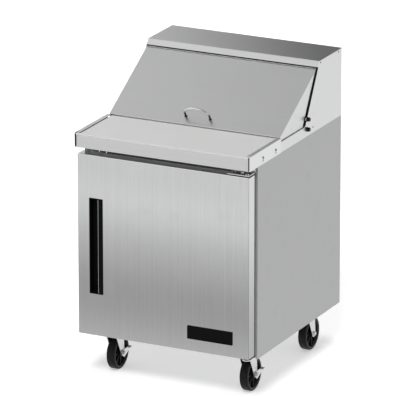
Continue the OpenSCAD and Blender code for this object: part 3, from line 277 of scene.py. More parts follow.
def brushed_steel(name, level, along, roughness, contrast, foot_shade=0.0, side_shade=0.0):
    """Steel brushed along one axis, with painted shade that darkens a sheet's foot and its sides and
    folds.
    """
    material, shader, place = blank_finish(name)
    streaks = noise(stretched(place, ALONG[along]), 1.0, detail=3.0, rough=0.6)
    bands = noise(stretched(place, [value * BAND_SHARE for value in ALONG[along]]), 1.0, detail=2.0)
    clouds = noise(place, CLOUD_SCALE, detail=3.0)
    smudges = noise(place, SMUDGE_SCALE, detail=2.0).step(*SMUDGE_EDGE)
    tone = 1 + swing(streaks) * contrast + swing(bands) * contrast + swing(clouds) * CLOUD_TONE
    # Painted shade: the steel gets darker towards the door's foot.
    if foot_shade:
        tone = tone * (1 - foot_shade * (1 - axis_of(place, 2).step(*FOOT_SHADE_HEIGHT)))
    # Painted shade on faces turned sideways, darkest half way round each fold.
    if side_shade:
        sideways = axis_of(place.node("ShaderNodeTexCoord", {}, {}, output="Normal"), 0)
        square = sideways * sideways
        tone = tone * (1 - side_shade * square) * (1 - CREASE_SHADE * square * (1 - square))
    duller = swing(streaks) * STREAK_DULL + swing(clouds) * CLOUD_DULL + smudges * SMUDGE_DULL
    set_finish(
        shader,
        Base_Color=(tone * 0.5).blend(grey(0.0), grey(level * 2, STEEL_COOL)),
        Metallic=1.0,
        Roughness=roughness + duller,
        Normal=bump(streaks, strength=0.05, distance=0.2 * MM),
    )
    return material


# Grey level, direction of the brushing, roughness and contrast of the streaks.
STEEL_LEVEL = {
    "hood_steel": (0.69, "x", 0.34, 0.05),
    "lid_steel": (0.69, "x", 0.34, 0.05),
    "tray_steel": (0.75, "x", 0.36, 0.05),
    "side_steel": (0.43, "z", 0.40, 0.06),
    "frame_steel": (0.45, "x", 0.42, 0.10),
    "pan_steel": (0.70, "z", 0.20, 0.06),
}
for name, (level, along, roughness, contrast) in STEEL_LEVEL.items():
    FINISH[name] = brushed_steel(name, level, along, roughness, contrast)
FINISH["door_steel"] = brushed_steel("door_steel", 0.77, "z", 0.19, 0.13, foot_shade=0.38, side_shade=0.15)
print("brushed steels:", ", ".join(STEEL_LEVEL), "and door_steel")

# %% [markdown]
# ## The other metals
# Zinc plating on the casters is bright with a faint mottle. Galvanised sheet inside the machine
# bay shows flat crystals, which a Voronoi texture draws. The liner and the coils are aluminium.
# The lid's bow handle is bright steel at its crown, and near the lid it has painted shade and
# is rougher, so its tone follows the distance from the lid's slope.


# %% Plated and galvanised metals
MOTTLE_DARK = 0.6
MOTTLE_PALE = 1.4
MOTTLE_DULL = 0.2
MOTTLE_FINER = 9
CRYSTAL_SCALE = 90.0
CRYSTAL_DARK = 0.88
CRYSTAL_PALE = 1.1
CRYSTAL_COOL = -0.01
FINE_GRAIN = 0.3 * MM


def mottled_metal(name, level, roughness, mottle_scale, mottle, tint=(1, 1, 1)):
    material, shader, place = blank_finish(name)
    dark = [MOTTLE_DARK * level * part for part in tint] + [1]
    pale = [MOTTLE_PALE * level * part for part in tint] + [1]
    spots = noise(place, mottle_scale, detail=4.0, rough=0.6)
    fine = noise(place, mottle_scale * MOTTLE_FINER, detail=2.0)
    tone = 0.5 + swing(spots) * mottle + swing(fine) * mottle * 0.5
    set_finish(
        shader,
        Base_Color=tone.blend(dark, pale),
        Metallic=1.0,
        Roughness=roughness + swing(spots) * MOTTLE_DULL,
        Normal=bump(fine, strength=0.06, distance=FINE_GRAIN),
    )
    return material


def galvanised_sheet(name, level):
    material, shader, place = blank_finish(name)
    values = {"Vector": place, "Scale": CRYSTAL_SCALE}
    flake = axis_of(place.node("ShaderNodeTexVoronoi", {}, values, output="Color"), 0)
    fine = noise(place, scale=400.0)
    dark, pale = grey(level * CRYSTAL_DARK, CRYSTAL_COOL), grey(level * CRYSTAL_PALE, CRYSTAL_COOL)
    set_finish(
        shader,
        Base_Color=(flake * 0.6 + fine * 0.4).blend(dark, pale),
        Metallic=0.9,
        Roughness=0.38 + flake * 0.12,
        Normal=bump(fine, strength=0.05, distance=FINE_GRAIN),
    )
    return material


# Grey level, roughness, scale of the mottle and its strength.
METAL_LEVEL = {
    "zinc_steel": (0.66, 0.34, 40.0, 0.30),
    "bright_steel": (0.62, 0.24, 60.0, 0.12),
    "handle_steel": (0.78, 0.12, 70.0, 0.10),
    # Painted shade: the studs are nearly black, as dark as the keyholes round them.
    "stud_steel": (0.12, 0.35, 90.0, 0.20),
    "hinge_steel": (0.52, 0.40, 90.0, 0.20),
    "liner_aluminium": (0.74, 0.34, 25.0, 0.04),
    "coil_aluminium": (0.60, 0.38, 120.0, 0.25),
}
for name, (level, roughness, scale, mottle) in METAL_LEVEL.items():
    FINISH[name] = mottled_metal(name, level, roughness, scale, mottle)
FINISH["copper"] = mottled_metal("copper", 0.62, 0.28, 80.0, 0.35, tint=(1.0, 0.55, 0.38))
FINISH["galvanised"] = galvanised_sheet("galvanised", 0.56)
print("metals:", ", ".join(METAL_LEVEL), "copper and galvanised")

# %% Bar of the lid's handle
LID_FRONT = Vector((0, -127.4, 942.8)) * MM
LID_TOP = Vector((0, 171.84, 1115.98)) * MM
up_slope = (LID_TOP - LID_FRONT).normalized()
# Between these distances from the lid the bar's painted shade gives way to bright steel.
GRIP_SHADE_FADE = (16 * MM, 34 * MM)


def shaded_bar(name, bright, dull):
    """A bar that is bright at its crown and has painted shade near the lid, where it is also rougher."""
    material, shader, place = blank_finish(name)
    rise = axis_of(place, 2) - LID_FRONT.z
    back = axis_of(place, 1) - LID_FRONT.y
    off_lid = rise * up_slope.y - back * up_slope.z
    spots = noise(place, scale=70.0, detail=4.0, rough=0.6)
    # Painted shade: dark near the lid, lifting to the bar's bright steel towards the crown.
    tone = off_lid.step(*GRIP_SHADE_FADE) * (0.9 + spots * 0.1)
    set_finish(
        shader,
        Base_Color=tone.blend(grey(dull), grey(bright)),
        Metallic=1.0,
        Roughness=0.3 - tone * 0.15 + swing(spots) * 0.1,
        Normal=bump(noise(place, scale=600.0), strength=0.04, distance=FINE_GRAIN),
    )
    return material


FINISH["grip_steel"] = shaded_bar("grip_steel", bright=0.78, dull=0.06)
print("grip_steel is dull up to", round(GRIP_SHADE_FADE[0] / MM), "mm off the lid")

# %% [markdown]
# ## Plastics, rubber and paint
# These are not metals: a dark or pale body colour lies under a weak clear reflection. A fine
# noise stands for the grain of the mould. The specular level is the same all over a piece, so
# it is set on its socket, and the rubber is given less of it than hard plastic.


# %% Moulded, coated and rubber finishes
MOULD_CLOUDS = 12.0
MOULD_PALER = 1.2
MOULD_DULL = 0.2
MOULD_GRAIN = 0.4 * MM


def moulded(name, colour, roughness, grain, grain_depth, gloss):
    material, shader, place = blank_finish(name)
    pores = noise(place, grain, detail=2.0)
    clouds = noise(place, MOULD_CLOUDS, detail=4.0, rough=0.6)
    pale = [min(1.0, part * MOULD_PALER + 0.001) for part in colour[:3]] + [1]
    set_finish(
        shader,
        Base_Color=(clouds * 0.6 + pores * 0.4).blend(colour, pale),
        Roughness=roughness + swing(clouds) * MOULD_DULL,
        Normal=bump(pores, grain_depth, MOULD_GRAIN),
        Specular_IOR_Level=gloss,
    )
    return material


# Colour, roughness, scale of the grain, its depth, and gloss.
MOULDED = {
    "black_plastic": (grey(0.003), 0.42, 1800.0, 0.12, 0.05),
    "knob_plastic": (grey(0.004), 0.34, 1500.0, 0.10, 0.22),
    "grille_paint": (grey(0.022), 0.42, 900.0, 0.18, 0.4),
    "seal_rubber": (grey(0.003), 0.7, 1200.0, 0.2, 0.03),
    "seal_grey": (grey(0.16), 0.58, 1200.0, 0.2, 0.2),
    "flange_satin": (grey(0.28), 0.5, 700.0, 0.1, 0.3),
    "white_coat": (grey(0.72, 0.005), 0.35, 500.0, 0.06, 0.5),
    "foam": ((0.75, 0.62, 0.32, 1), 0.85, 900.0, 0.6, 0.2),
}
for name, (colour, roughness, grain, grain_depth, gloss) in MOULDED.items():
    FINISH[name] = moulded(name, colour, roughness, grain, grain_depth, gloss)
print("finishes:", len(FINISH))

# %% [markdown]
# ## A board with knife marks
# A cutting board of pressed polyethylene is matt and pale. Use leaves fine cuts in all
# directions, which are drawn here as three sets of long thin noise, each turned by its own
# angle and kept only where the noise peaks. The cuts are a little darker and lie in a bump.


# %% Cutting board finish
CUT_TURNS = (0.35, 1.2, 2.45)
CUT_STRETCH = (1400.0, 12.0, 1.0)
# The noise makes a cut between these values, for the first set and for the fainter others.
CUT_EDGE = (0.66, 0.74)
CUT_EDGE_FAINT = (0.68, 0.76)
USED_EDGE = (0.42, 0.62)
CUT_TONE = 0.18


def cut_set(place, turn, edge):
    """Long thin marks, all turned by one angle."""
    return noise(stretched(place, CUT_STRETCH, (0, 0, turn)), 1.0).step(*edge)


def scored_board(name, level):
    material, shader, place = blank_finish(name)
    pores = noise(place, scale=1600.0)
    clouds = noise(place, scale=6.0, detail=3.0)
    cuts = cut_set(place, CUT_TURNS[0], CUT_EDGE)
    for turn in CUT_TURNS[1:]:
        cuts = cuts.larger(cut_set(place, turn, CUT_EDGE_FAINT))
    use = clouds.step(*USED_EDGE)
    tone = 0.55 + swing(clouds) * 0.25 + swing(pores) * 0.1 - cuts * use * CUT_TONE
    set_finish(
        shader,
        Base_Color=tone.blend(grey(level * 0.82, 0.004), grey(level * 1.15, 0.002)),
        Roughness=0.5 + swing(clouds) * 0.2 + cuts * 0.1,
        Normal=bump(pores * 0.3 - cuts * use, strength=0.12, distance=FINE_GRAIN),
        Specular_IOR_Level=0.4,
    )
    return material


FINISH["board_plastic"] = scored_board("board_plastic", 0.55)
print("board finish with", len(CUT_TURNS), "sets of cuts")

# %% [markdown]
# ## Wheels with a painted highlight on the bead
# The caster wheels are one black moulding. The bead between tread and web is a little
# smoother, and its paler colour is a painted highlight along its raised edge. The distance from
# the axle picks the bead out. Every wheel needs its own material, because a Mapping node moves
# the pattern's middle to that wheel's axle.

# %% Wheel finish round its axle
joint_at = {joint["name"]: joint for joint in record["behaviour"]["joints"]}
WHEELS = ("front_left", "front_right", "rear_left", "rear_right")
WHEEL_BAND = 11.5 * MM
# The painted highlight's two edges on the bead, out from the inside of the tread band, and the tread's in
# from the rim.
BEAD_HIGHLIGHT_START = (-1.2 * MM, -0.4 * MM)
BEAD_HIGHLIGHT_END = (2.6 * MM, 3.4 * MM)
TREAD_EDGE = (4 * MM, 1 * MM)
SCUFF_EDGE = (0.5, 0.8)


def wheel_finish(name, axle, wheel_radius, band):
    material, shader, place = blank_finish(name)
    to_axle = [-value for value in axle]
    centred = place.node("ShaderNodeMapping", {}, {"Vector": place, "Location": to_axle})
    across = axis_of(centred, 1)
    up = axis_of(centred, 2)
    squared = across * across + up * up
    radius = squared.math("SQRT", squared)
    inner = wheel_radius - band
    starts = radius.step(*[inner + value for value in BEAD_HIGHLIGHT_START])
    ends = radius.step(*[inner + value for value in BEAD_HIGHLIGHT_END])
    # Painted highlight: the bead is paler than the rest of the moulding.
    bead_highlight = starts * (1 - ends)
    pores = noise(place, scale=900.0)
    scuffs = noise(place, scale=60.0, detail=4.0, rough=0.65)
    tread = radius.step(*[wheel_radius - value for value in TREAD_EDGE])
    dust = scuffs.step(*SCUFF_EDGE) * (0.15 + 0.5 * tread)
    body = dust.blend(grey(0.004), grey(0.03))
    set_finish(
        shader,
        Base_Color=bead_highlight.blend(body, grey(0.075)),
        Roughness=0.5 + swing(scuffs) * 0.3 - bead_highlight * 0.12,
        Normal=bump(pores, strength=0.15, distance=FINE_GRAIN),
        Specular_IOR_Level=0.16,
    )
    return material


for corner in WHEELS:
    name = "wheel_" + corner
    axle = joint_at["roll_" + corner]["pos_m"]
    low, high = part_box(name)
    FINISH[name] = wheel_finish(name, axle, (high.z - low.z) / 2, WHEEL_BAND)
print("wheel finishes:", len(WHEELS))

# %% [markdown]
# ## Every solid gets its finish
# The record says which material slot each solid belongs to. Most slots have one finish, and
# the stainless sheet has several, because each sheet was brushed in its own direction.

# %% Finish of each node
OWN_FINISH = {
    "side_panel_left": "side_steel",
    "side_panel_right": "side_steel",
    "front_frame": "frame_steel",
    "counter_top": "hood_steel",
    "board_tray": "tray_steel",
    "hood_shell": "hood_steel",
    "lid_skin": "lid_steel",
    "door_skin": "door_steel",
    "pan_divider_bars": "pan_steel",
    "lid_handle": "grip_steel",
    # Painted shade: the studs and case screws take the dark of their keyholes.
    "case_screws": "stud_steel",
    "hood_hinge_leaves": "hinge_steel",
    "lid_hinge_leaves": "hinge_steel",
    "lid_hinge_pin": "hinge_steel",
    "door_seal": "seal_grey",
    "door_hinge_brackets": "handle_steel",
    "hood_thumb_screws": "knob_plastic",
    "thermostat_knob": "knob_plastic",
    **{"wheel_" + corner: "wheel_" + corner for corner in WHEELS},
}


def finish_of(node):
    return FINISH[OWN_FINISH.get(node, slot_of_node[node])]


for name, node in nodes.items():
    node.data.materials.clear()
    node.data.materials.append(finish_of(name))
print("dressed nodes:", len(nodes))

# %% [markdown]
# ## Soft folds and moulded edges
# A sheet that is folded on a press has a small radius on each fold, and a moulding has one on
# each edge. That radius catches a line of light. The solids have sharp edges, so a copy of each
# piece that shows is merged from loose triangles into flat faces, and its convex edges between
# two broad faces are rounded. The thin cut edges of the sheet stay sharp, as on the real table.
# Broad faces keep flat light: smoothing them into their folds would bend what they mirror.

# %% Merged copies that stand for solids
SMOOTH_ANGLE = math.radians(35)
FLAT_ANGLE = math.radians(0.5)
# Faces of more square metres than this keep flat light.
FLAT_AREA = 4e-4
WELD = 0.01 * MM


def merged_copy(node):
    """A bmesh of a node with its loose triangles joined into flat faces."""
    work = bmesh.new()
    work.from_mesh(nodes[node].data)
    bmesh.ops.remove_doubles(work, verts=work.verts, dist=WELD)
    bmesh.ops.dissolve_limit(
        work, angle_limit=FLAT_ANGLE, verts=work.verts, edges=work.edges, delimit={"NORMAL"}
    )
    return work


def smooth_by_angle(mesh):
    """Smooth light on small faces, sharp corners, and broad faces left quite flat."""
    mesh.shade_smooth()
    mesh.set_sharp_from_angle(angle=SMOOTH_ANGLE)
    for face in mesh.polygons:
        face.use_smooth = face.area < FLAT_AREA


def as_mesh(name, work):
    """Turns a bmesh into a mesh with smooth curves and sharp corners."""
    mesh = bpy.data.meshes.new(name)
    work.to_mesh(mesh)
    work.free()
    smooth_by_angle(mesh)
    return mesh


def add_piece(name, mesh, finish, body, stands_for=()):
    """Puts a finished mesh in the scene as a piece that rides on a body."""
    piece = new_object(name, mesh)
    mesh.materials.clear()
    mesh.materials.append(finish)
    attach(piece, body)
    if stands_for:
        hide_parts(*stands_for)


def stand_in(node, mesh):
    """A piece that takes a node's place, with that node's finish and body."""
    body, slot = body_of_node[node], slot_of_node[node]
    add_piece(node + "_made", mesh, finish_of(node), body, [node])


print("faces above", FLAT_AREA, "square metres stay flat")

# %% Rounded copies
FOLD_ANGLE = math.radians(20)
# A fold is longer, and its faces are broader, than its radius times these.
FOLD_LONGER = 3
FOLD_BROADER = 2.2
FOLD_STEPS = 2


def breadth(face):
    """About how wide a face is across its longest side."""
    return face.calc_area() / max(edge.calc_length() for edge in face.edges)


def round_edges(work, edges, radius, steps):
    bmesh.ops.bevel(
        work, geom=edges, offset=radius, segments=steps, profile=0.5, affect="EDGES", clamp_overlap=True
    )


def rounded(node, radius):
    """A copy of a node with its broad convex edges rounded, which then stands for the node."""
    work = merged_copy(node)
    folds = [
        edge
        for edge in work.edges
        if len(edge.link_faces) == 2
        and edge.is_convex
        and edge.calc_face_angle() > FOLD_ANGLE
        and edge.calc_length() > FOLD_LONGER * radius
        and min(breadth(face) for face in edge.link_faces) > FOLD_BROADER * radius
    ]
    round_edges(work, folds, radius, FOLD_STEPS)
    stand_in(node, as_mesh(node + "_made", work))
    return len(folds)


print("folds turn by more than", round(math.degrees(FOLD_ANGLE)), "degrees")

# %% Radius of each sheet and moulding
FOLD_RADIUS = {
    "side_panel_left": 1.0,
    "side_panel_right": 1.0,
    "counter_top": 1.2,
    "board_tray": 0.5,
    "hood_shell": 1.6,
    "lid_skin": 1.6,
    "door_skin": 2.2,
    "cutting_board": 1.6,
    "door_handle": 0.9,
    "door_plate": 0.5,
    "door_liner": 1.2,
    "door_hinge_brackets": 0.8,
    "back_panel": 0.5,
    "evaporator_cover": 1.2,
    "drain_pan": 0.8,
    "shelf_clips": 0.6,
    "pan_divider_bars": 0.6,
    "hood_thumb_screws": 0.4,
    "thermostat_knob": 0.8,
    "condenser_shroud": 0.5,
}
for node, radius in FOLD_RADIUS.items():
    print("rounded", rounded(node, radius * MM), "edges of", node)

# %% [markdown]
# ## Curves that only need smooth light
# Pins, bosses and rims have the right shape in the solids, but their facets catch the light one
# by one. A merged copy with smooth normals, kept sharp where the surface really turns a corner,
# is all that these need.

# %% Smoothed copies
SMOOTHED = [
    "hood_hinge_leaves",
    "lid_hinge_leaves",
    "lid_hinge_pin",
    "door_bushes",
    "lid_bumpers",
    "condenser_fan",
    "evaporator_fan",
    "hood_seal",
]
for node in SMOOTHED:
    stand_in(node, as_mesh(node + "_made", merged_copy(node)))
print("smoothed:", ", ".join(SMOOTHED))

# %% [markdown]
# ## Growing what repeats
# Screws, fins, louvres and ribs repeat by a rule, and Geometry Nodes can follow the rule. Each
# tree has named inputs for its sizes and ends by turning its instances into real faces. The
# helper runs a tree on a mesh of seed points, takes the result as a plain mesh and throws the
# modifier away, so the piece that rides on the table is an ordinary mesh.


# %% Geometry Nodes helpers
def geometry_tree(name, sizes):
    """A new tree with the named inputs, and a wire from each of them."""
    tree = bpy.data.node_groups.new(name, "GeometryNodeTree")
    tree.interface.new_socket("Geometry", in_out="OUTPUT", socket_type="NodeSocketGeometry")
    for label, kind in {"Seeds": "Geometry", **sizes, "Finish": "Material"}.items():
        tree.interface.new_socket(label, in_out="INPUT", socket_type="NodeSocket" + kind)
    source = tree.nodes.new("NodeGroupInput")
    return {socket.name: Wire(tree, socket) for socket in source.outputs if socket.name}


def close_tree(wire, finish):
    """Ends a tree: real faces, a material, and the tree's output."""
    solid = wire.node("GeometryNodeRealizeInstances", {}, {"Geometry": wire})
    dressed = wire.node("GeometryNodeSetMaterial", {}, {"Geometry": solid, "Material": finish})
    wire.tree.links.new(dressed.socket, wire.tree.nodes.new("NodeGroupOutput").inputs[0])
    return wire.tree


def shape_of(item):
    """The shape of a pattern object that is an input of the tree."""
    return item.node("GeometryNodeObjectInfo", {}, {"Object": item}, output="Geometry")


def on_points(points, shape, **turn):
    """One copy of a shape on each point."""
    return shape.node("GeometryNodeInstanceOnPoints", {}, {"Points": points, "Instance": shape, **turn})


def plain_mesh(host):
    """The mesh that an object's modifiers or curve make; the object is then thrown away."""
    graph = bpy.context.evaluated_depsgraph_get()
    mesh = bpy.data.meshes.new_from_object(host.evaluated_get(graph), depsgraph=graph)
    host.modifiers.clear()
    bpy.data.objects.remove(host)
    return mesh


def grow(name, tree, seeds, **sizes):
    """The plain mesh that a tree makes from seed points and sizes."""
    mesh = bpy.data.meshes.new(name + "_seeds")
    mesh.from_pydata([tuple(seed) for seed in seeds], [], [])
    host = new_object(name + "_host", mesh)
    modifier = host.modifiers.new("grow", "NODES")
    modifier.node_group = tree
    keys = {item.name: item.identifier for item in tree.interface.items_tree if item.in_out == "INPUT"}
    for label, value in sizes.items():
        modifier[keys[label]] = value
    made = plain_mesh(host)
    made.name = name
    smooth_by_angle(made)
    return made


print("geometry helpers ready")

# %% [markdown]
# ## Heads to repeat
# Two heads do for the whole table: a round screw head with a crossed slot, and a hexagon bolt
# on a washer. Each is turned on a lathe from a few points of its profile. The slot is cut from
# one head only, since every copy shares its faces.


# %% A lathe, a block and a cutter
def lathe(profile, steps, closed=False):
    """A bmesh turned about Z from points of radius and height."""
    work = bmesh.new()
    rings = []
    for radius, height in profile:
        count = 1 if radius == 0 else steps
        turns = [2 * math.pi * i / steps for i in range(count)]
        ring = [(radius * math.cos(turn), radius * math.sin(turn), height) for turn in turns]
        rings.append([work.verts.new(point) for point in ring])
    pairs = list(zip(rings, rings[1:])) + ([(rings[-1], rings[0])] if closed else [])
    for low, high in pairs:
        for i in range(steps):
            j = (i + 1) % steps
            corners = [low[i % len(low)], low[j % len(low)], high[j % len(high)], high[i % len(high)]]
            work.faces.new(dict.fromkeys(corners))
    bmesh.ops.recalc_face_normals(work, faces=work.faces)
    return work


def block(work, low, high):
    """Adds a box between two corners to a bmesh."""
    middle = (Vector(low) + Vector(high)) / 2
    size = Vector(high) - Vector(low)
    matrix = Matrix.Translation(middle) @ Matrix.Diagonal(size.to_4d())
    bmesh.ops.create_cube(work, size=1.0, matrix=matrix)


def carved(name, body, cutter):
    """The first bmesh without the second, cut by a Boolean modifier."""
    host = new_object(name, as_mesh(name, body))
    tool = new_object(name + "_tool", as_mesh(name + "_tool", cutter))
    cut = host.modifiers.new("cut", "BOOLEAN")
    cut.operation = "DIFFERENCE"
    cut.object = tool
    mesh = plain_mesh(host)
    bpy.data.objects.remove(tool)
    smooth_by_angle(mesh)
    return mesh


def joined(name, *meshes):
    """One mesh from several."""
    work = bmesh.new()
    for mesh in meshes:
        work.from_mesh(mesh)
    return as_mesh(name, work)


print("lathe, block and cutter ready")

# %% Two heads
SCREW_SIDES = 20
BOLT_SIDES = 6
WASHER_SIDES = 24
# Radius and height of the points of each profile, as shares of the head's own.
SCREW_PROFILE = [(0, -0.3), (1, -0.3), (1, 0.1), (0.92, 0.28), (0.7, 0.45), (0.38, 0.54), (0, 0.56)]
BOLT_PROFILE = [(0, 0), (0.97, 0), (1, 0.1), (1, 0.72), (0.86, 1), (0, 1)]
WASHER_PROFILE = [(0, -0.25), (1.28, -0.25), (1.28, 0), (0, 0)]


def scaled(profile, radius, height):
    return [(across * radius, up * height) for across, up in profile]


def crossed_head(radius):
    head = lathe(scaled(SCREW_PROFILE, radius, radius), SCREW_SIDES)
    slot = bmesh.new()
    arm, waist, floor_z = 0.58 * radius, 0.11 * radius, 0.18 * radius
    block(slot, (-arm, -waist, floor_z), (arm, waist, radius))
    cross = bmesh.new()
    block(cross, (-waist, -arm, floor_z), (waist, arm, radius))
    once = bmesh.new()
    once.from_mesh(carved("crossed_head", head, slot))
    return carved("crossed_head", once, cross)


def bolt_head(radius, height):
    head = as_mesh("hexagon", lathe(scaled(BOLT_PROFILE, radius, height), BOLT_SIDES))
    washer = as_mesh("washer", lathe(scaled(WASHER_PROFILE, radius, height), WASHER_SIDES))
    return joined("bolt_head", head, washer)


PATTERN = {}


def pattern_of(name, mesh):
    """A pattern object for Geometry Nodes to repeat; it is put away at the end."""
    PATTERN[name] = new_object(name + "_pattern", mesh)
    return PATTERN[name]


SCREW_R = 3.4 * MM
BOLT_R = 6.6 * MM
BOLT_H = 4.4 * MM
pattern_of("screw", crossed_head(SCREW_R))
pattern_of("bolt", bolt_head(BOLT_R, BOLT_H))
print("heads:", {name: len(pattern.data.polygons) for name, pattern in PATTERN.items()})

# %% [markdown]
# ## Setting the heads
# One tree sets a head on every seed point, faces it the given way and then spins it about its
# own axis by a random angle with a fixed seed, as a hand with a screwdriver leaves it.

# %% The fastener tree
wires = geometry_tree("fasteners", {"Head": "Object", "Facing": "Vector", "Seed": "Int"})
shape = shape_of(wires["Head"])
set_heads = on_points(wires["Seeds"], shape, Rotation=wires["Facing"])
full_turn = {2: 0.0, 3: 2 * math.pi, "Seed": wires["Seed"]}
any_angle = shape.node("FunctionNodeRandomValue", {"data_type": "FLOAT"}, full_turn, output=1)
own_turn = shape.node("ShaderNodeCombineXYZ", {}, {"Z": any_angle})
spun = shape.node("GeometryNodeRotateInstances", {}, {"Instances": set_heads, "Rotation": own_turn})
FASTENERS = close_tree(spun, wires["Finish"])

FACING = {
    "front": (math.pi / 2, 0, 0),
    "rear": (-math.pi / 2, 0, 0),
    "down": (math.pi, 0, 0),
    "up": (0, 0, 0),
}


def fasten(name, head, facing, seeds, finish, seed=7):
    """Sets one kind of head on seed points and adds them as a piece of the cabinet."""
    values = {"Head": PATTERN[head], "Facing": FACING[facing], "Seed": seed, "Finish": FINISH[finish]}
    add_piece(name, grow(name, FASTENERS, seeds, **values), FINISH[finish], "cabinet")


def spaced(start, end, count):
    """Evenly spaced values with both ends among them."""
    return [start + (end - start) * i / (count - 1) for i in range(count)]


print("fastener tree ready")

# %% [markdown]
# ## Screws at the back and inside
# The solids carry only the fasteners that the photograph shows. From behind and inside, a real
# cabinet is full of others: the back panel is screwed on round its edge, ten screws hold the
# grille, six the evaporator's cover, and a row of six runs along the back of the hood. Their
# places follow from the boxes of the pieces they hold, so they stay right if the table is
# resized.

# %% Screw rows
PANEL_EDGE = 12 * MM
GRILLE_EDGE = 7.5 * MM
RIM_DEPTH = 1 * MM
HOOD_ROW_IN = 3 * PANEL_EDGE
HOOD_ROW_DOWN = 1.6 * PANEL_EDGE
HOOD_SCREWS = 6


def row(axis, start, end, count, fixed):
    """Points along one axis of a face; fixed gives the other coordinates."""
    points = []
    for value in spaced(start, end, count):
        point = Vector(fixed)
        point[axis] = value
        points.append(point)
    return points


def frame_of(node, face_y, edge, across, up):
    """Points round the edge of an upright face of a node."""
    low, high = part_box(node)
    left, right = low[0] + edge, high[0] - edge
    bottom, top = low[2] + edge, high[2] - edge
    points = []
    for z in (bottom, top):
        points += row(0, left, right, across, (0, face_y, z))
    inner = spaced(bottom, top, up)[1:-1]
    return points + [Vector((x, face_y, z)) for x in (left, right) for z in inner]


def rim_face(node, side):
    """The y of a node's face along its top edge: side 1 for the rear face and -1 for the front."""
    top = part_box(node)[1][2]
    rim = [vertex.co.y for vertex in nodes[node].data.vertices if vertex.co.z > top - RIM_DEPTH]
    return side * max(side * y for y in rim)


places = frame_of("back_panel", rim_face("back_panel", 1), PANEL_EDGE, across=5, up=6)
fasten("back_panel_screws", "screw", "rear", places, "bright_steel")
places = frame_of("rear_grille", rim_face("rear_grille", 1), GRILLE_EDGE, across=4, up=3)
fasten("grille_screws", "screw", "rear", places, "bright_steel", seed=11)
places = frame_of("evaporator_cover", rim_face("evaporator_cover", -1), PANEL_EDGE, across=3, up=2)
fasten("cover_screws", "screw", "front", places, "bright_steel", seed=13)
low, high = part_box("hood_shell")
hood_row = (0, high.y, high.z - HOOD_ROW_DOWN)
places = row(0, low.x + HOOD_ROW_IN, high.x - HOOD_ROW_IN, HOOD_SCREWS, hood_row)
fasten("hood_rear_screws", "screw", "rear", places, "bright_steel", seed=17)
print("screw rows set on the back, grille, cover and hood")

# %% [markdown]
# ## Caster wheels
# A caster wheel is a hard black moulding with a round-shouldered tread, a raised bead where the
# tread meets the centre, a thin web and eight ribs. The turned part comes off the lathe with
# its fillets in the profile. The ribs are one rib, set round the axle by Geometry Nodes.

# %% Profile and rib of a wheel
WHEEL_R = 63.5 * MM
WHEEL_HALF = 16 * MM
RIM_R = 52 * MM
SHOULDER = 6 * MM
# The bead's height above the wheel's side, its foot below it, and its edges out from the rim.
BEAD = 0.8 * MM
BEAD_FOOT = 0.4 * MM
BEAD_INNER = 0.5 * MM
BEAD_OUTER = 2.4 * MM
BEAD_FAR = 3 * MM
WEB_HALF = 5 * MM
HUB_R = 15 * MM
BORE_R = 6.1 * MM
RIBS = 8
RIB_HALF = 11 * MM
RIB_T = 5 * MM
RIB_IN_HUB = 2 * MM
RIB_IN_RIM = 1 * MM
WHEEL_ROUND = 1 * MM
FILLET_UP = 3 * MM
FILLET_OUT = 4 * MM
SHOULDER_STEPS = 7
WHEEL_STEPS = 72


def wheel_profile(hub_half):
    """Radius and height of points from the bore to the tread and back."""
    side = [
        (BORE_R, hub_half),
        (HUB_R - WHEEL_ROUND, hub_half),
        (HUB_R, hub_half - WHEEL_ROUND),
        (HUB_R + WHEEL_ROUND, WEB_HALF + FILLET_UP),
        (HUB_R + FILLET_OUT, WEB_HALF),
        (RIM_R - FILLET_OUT, WEB_HALF),
        (RIM_R - WHEEL_ROUND, WEB_HALF + FILLET_UP),
        (RIM_R, WHEEL_HALF - BEAD_FOOT),
        (RIM_R + BEAD_INNER, WHEEL_HALF + BEAD),
        (RIM_R + BEAD_OUTER, WHEEL_HALF + BEAD),
        (RIM_R + BEAD_FAR, WHEEL_HALF),
    ]
    for turn in spaced(0, math.pi / 2, SHOULDER_STEPS):
        side.append((
            WHEEL_R - SHOULDER + SHOULDER * math.sin(turn),
            WHEEL_HALF - SHOULDER + SHOULDER * math.cos(turn),
        ))
    return side + [(radius, -height) for radius, height in reversed(side)]


def upright_edges(work):
    """The edges of a box that run straight up."""
    return [edge for edge in work.edges if abs(edge.verts[0].co.z - edge.verts[1].co.z) > WELD]


def rib_shape():
    """One rib across the web, from hub to rim along Z."""
    work = bmesh.new()
    block(work, (-RIB_HALF, -RIB_T / 2, HUB_R - RIB_IN_HUB), (RIB_HALF, RIB_T / 2, RIM_R + RIB_IN_RIM))
    round_edges(work, upright_edges(work), WHEEL_ROUND, FOLD_STEPS)
    return as_mesh("rib", work)


rib = pattern_of("rib", rib_shape())
print("rib has", len(rib.data.polygons), "faces")

# %% Turned wheels with grown ribs
wires = geometry_tree("spokes", {"Spoke": "Object", "Count": "Int", "Axle": "Vector"})
spoke = shape_of(wires["Spoke"])
ring = spoke.node("GeometryNodePoints", {}, {"Count": wires["Count"], "Position": wires["Axle"]})
share = spoke.node("GeometryNodeInputIndex", {}, {}) / wires["Count"]
turn = spoke.node("ShaderNodeCombineXYZ", {}, {"X": share * (2 * math.pi)})
SPOKES = close_tree(on_points(ring, spoke, Rotation=turn), wires["Finish"])

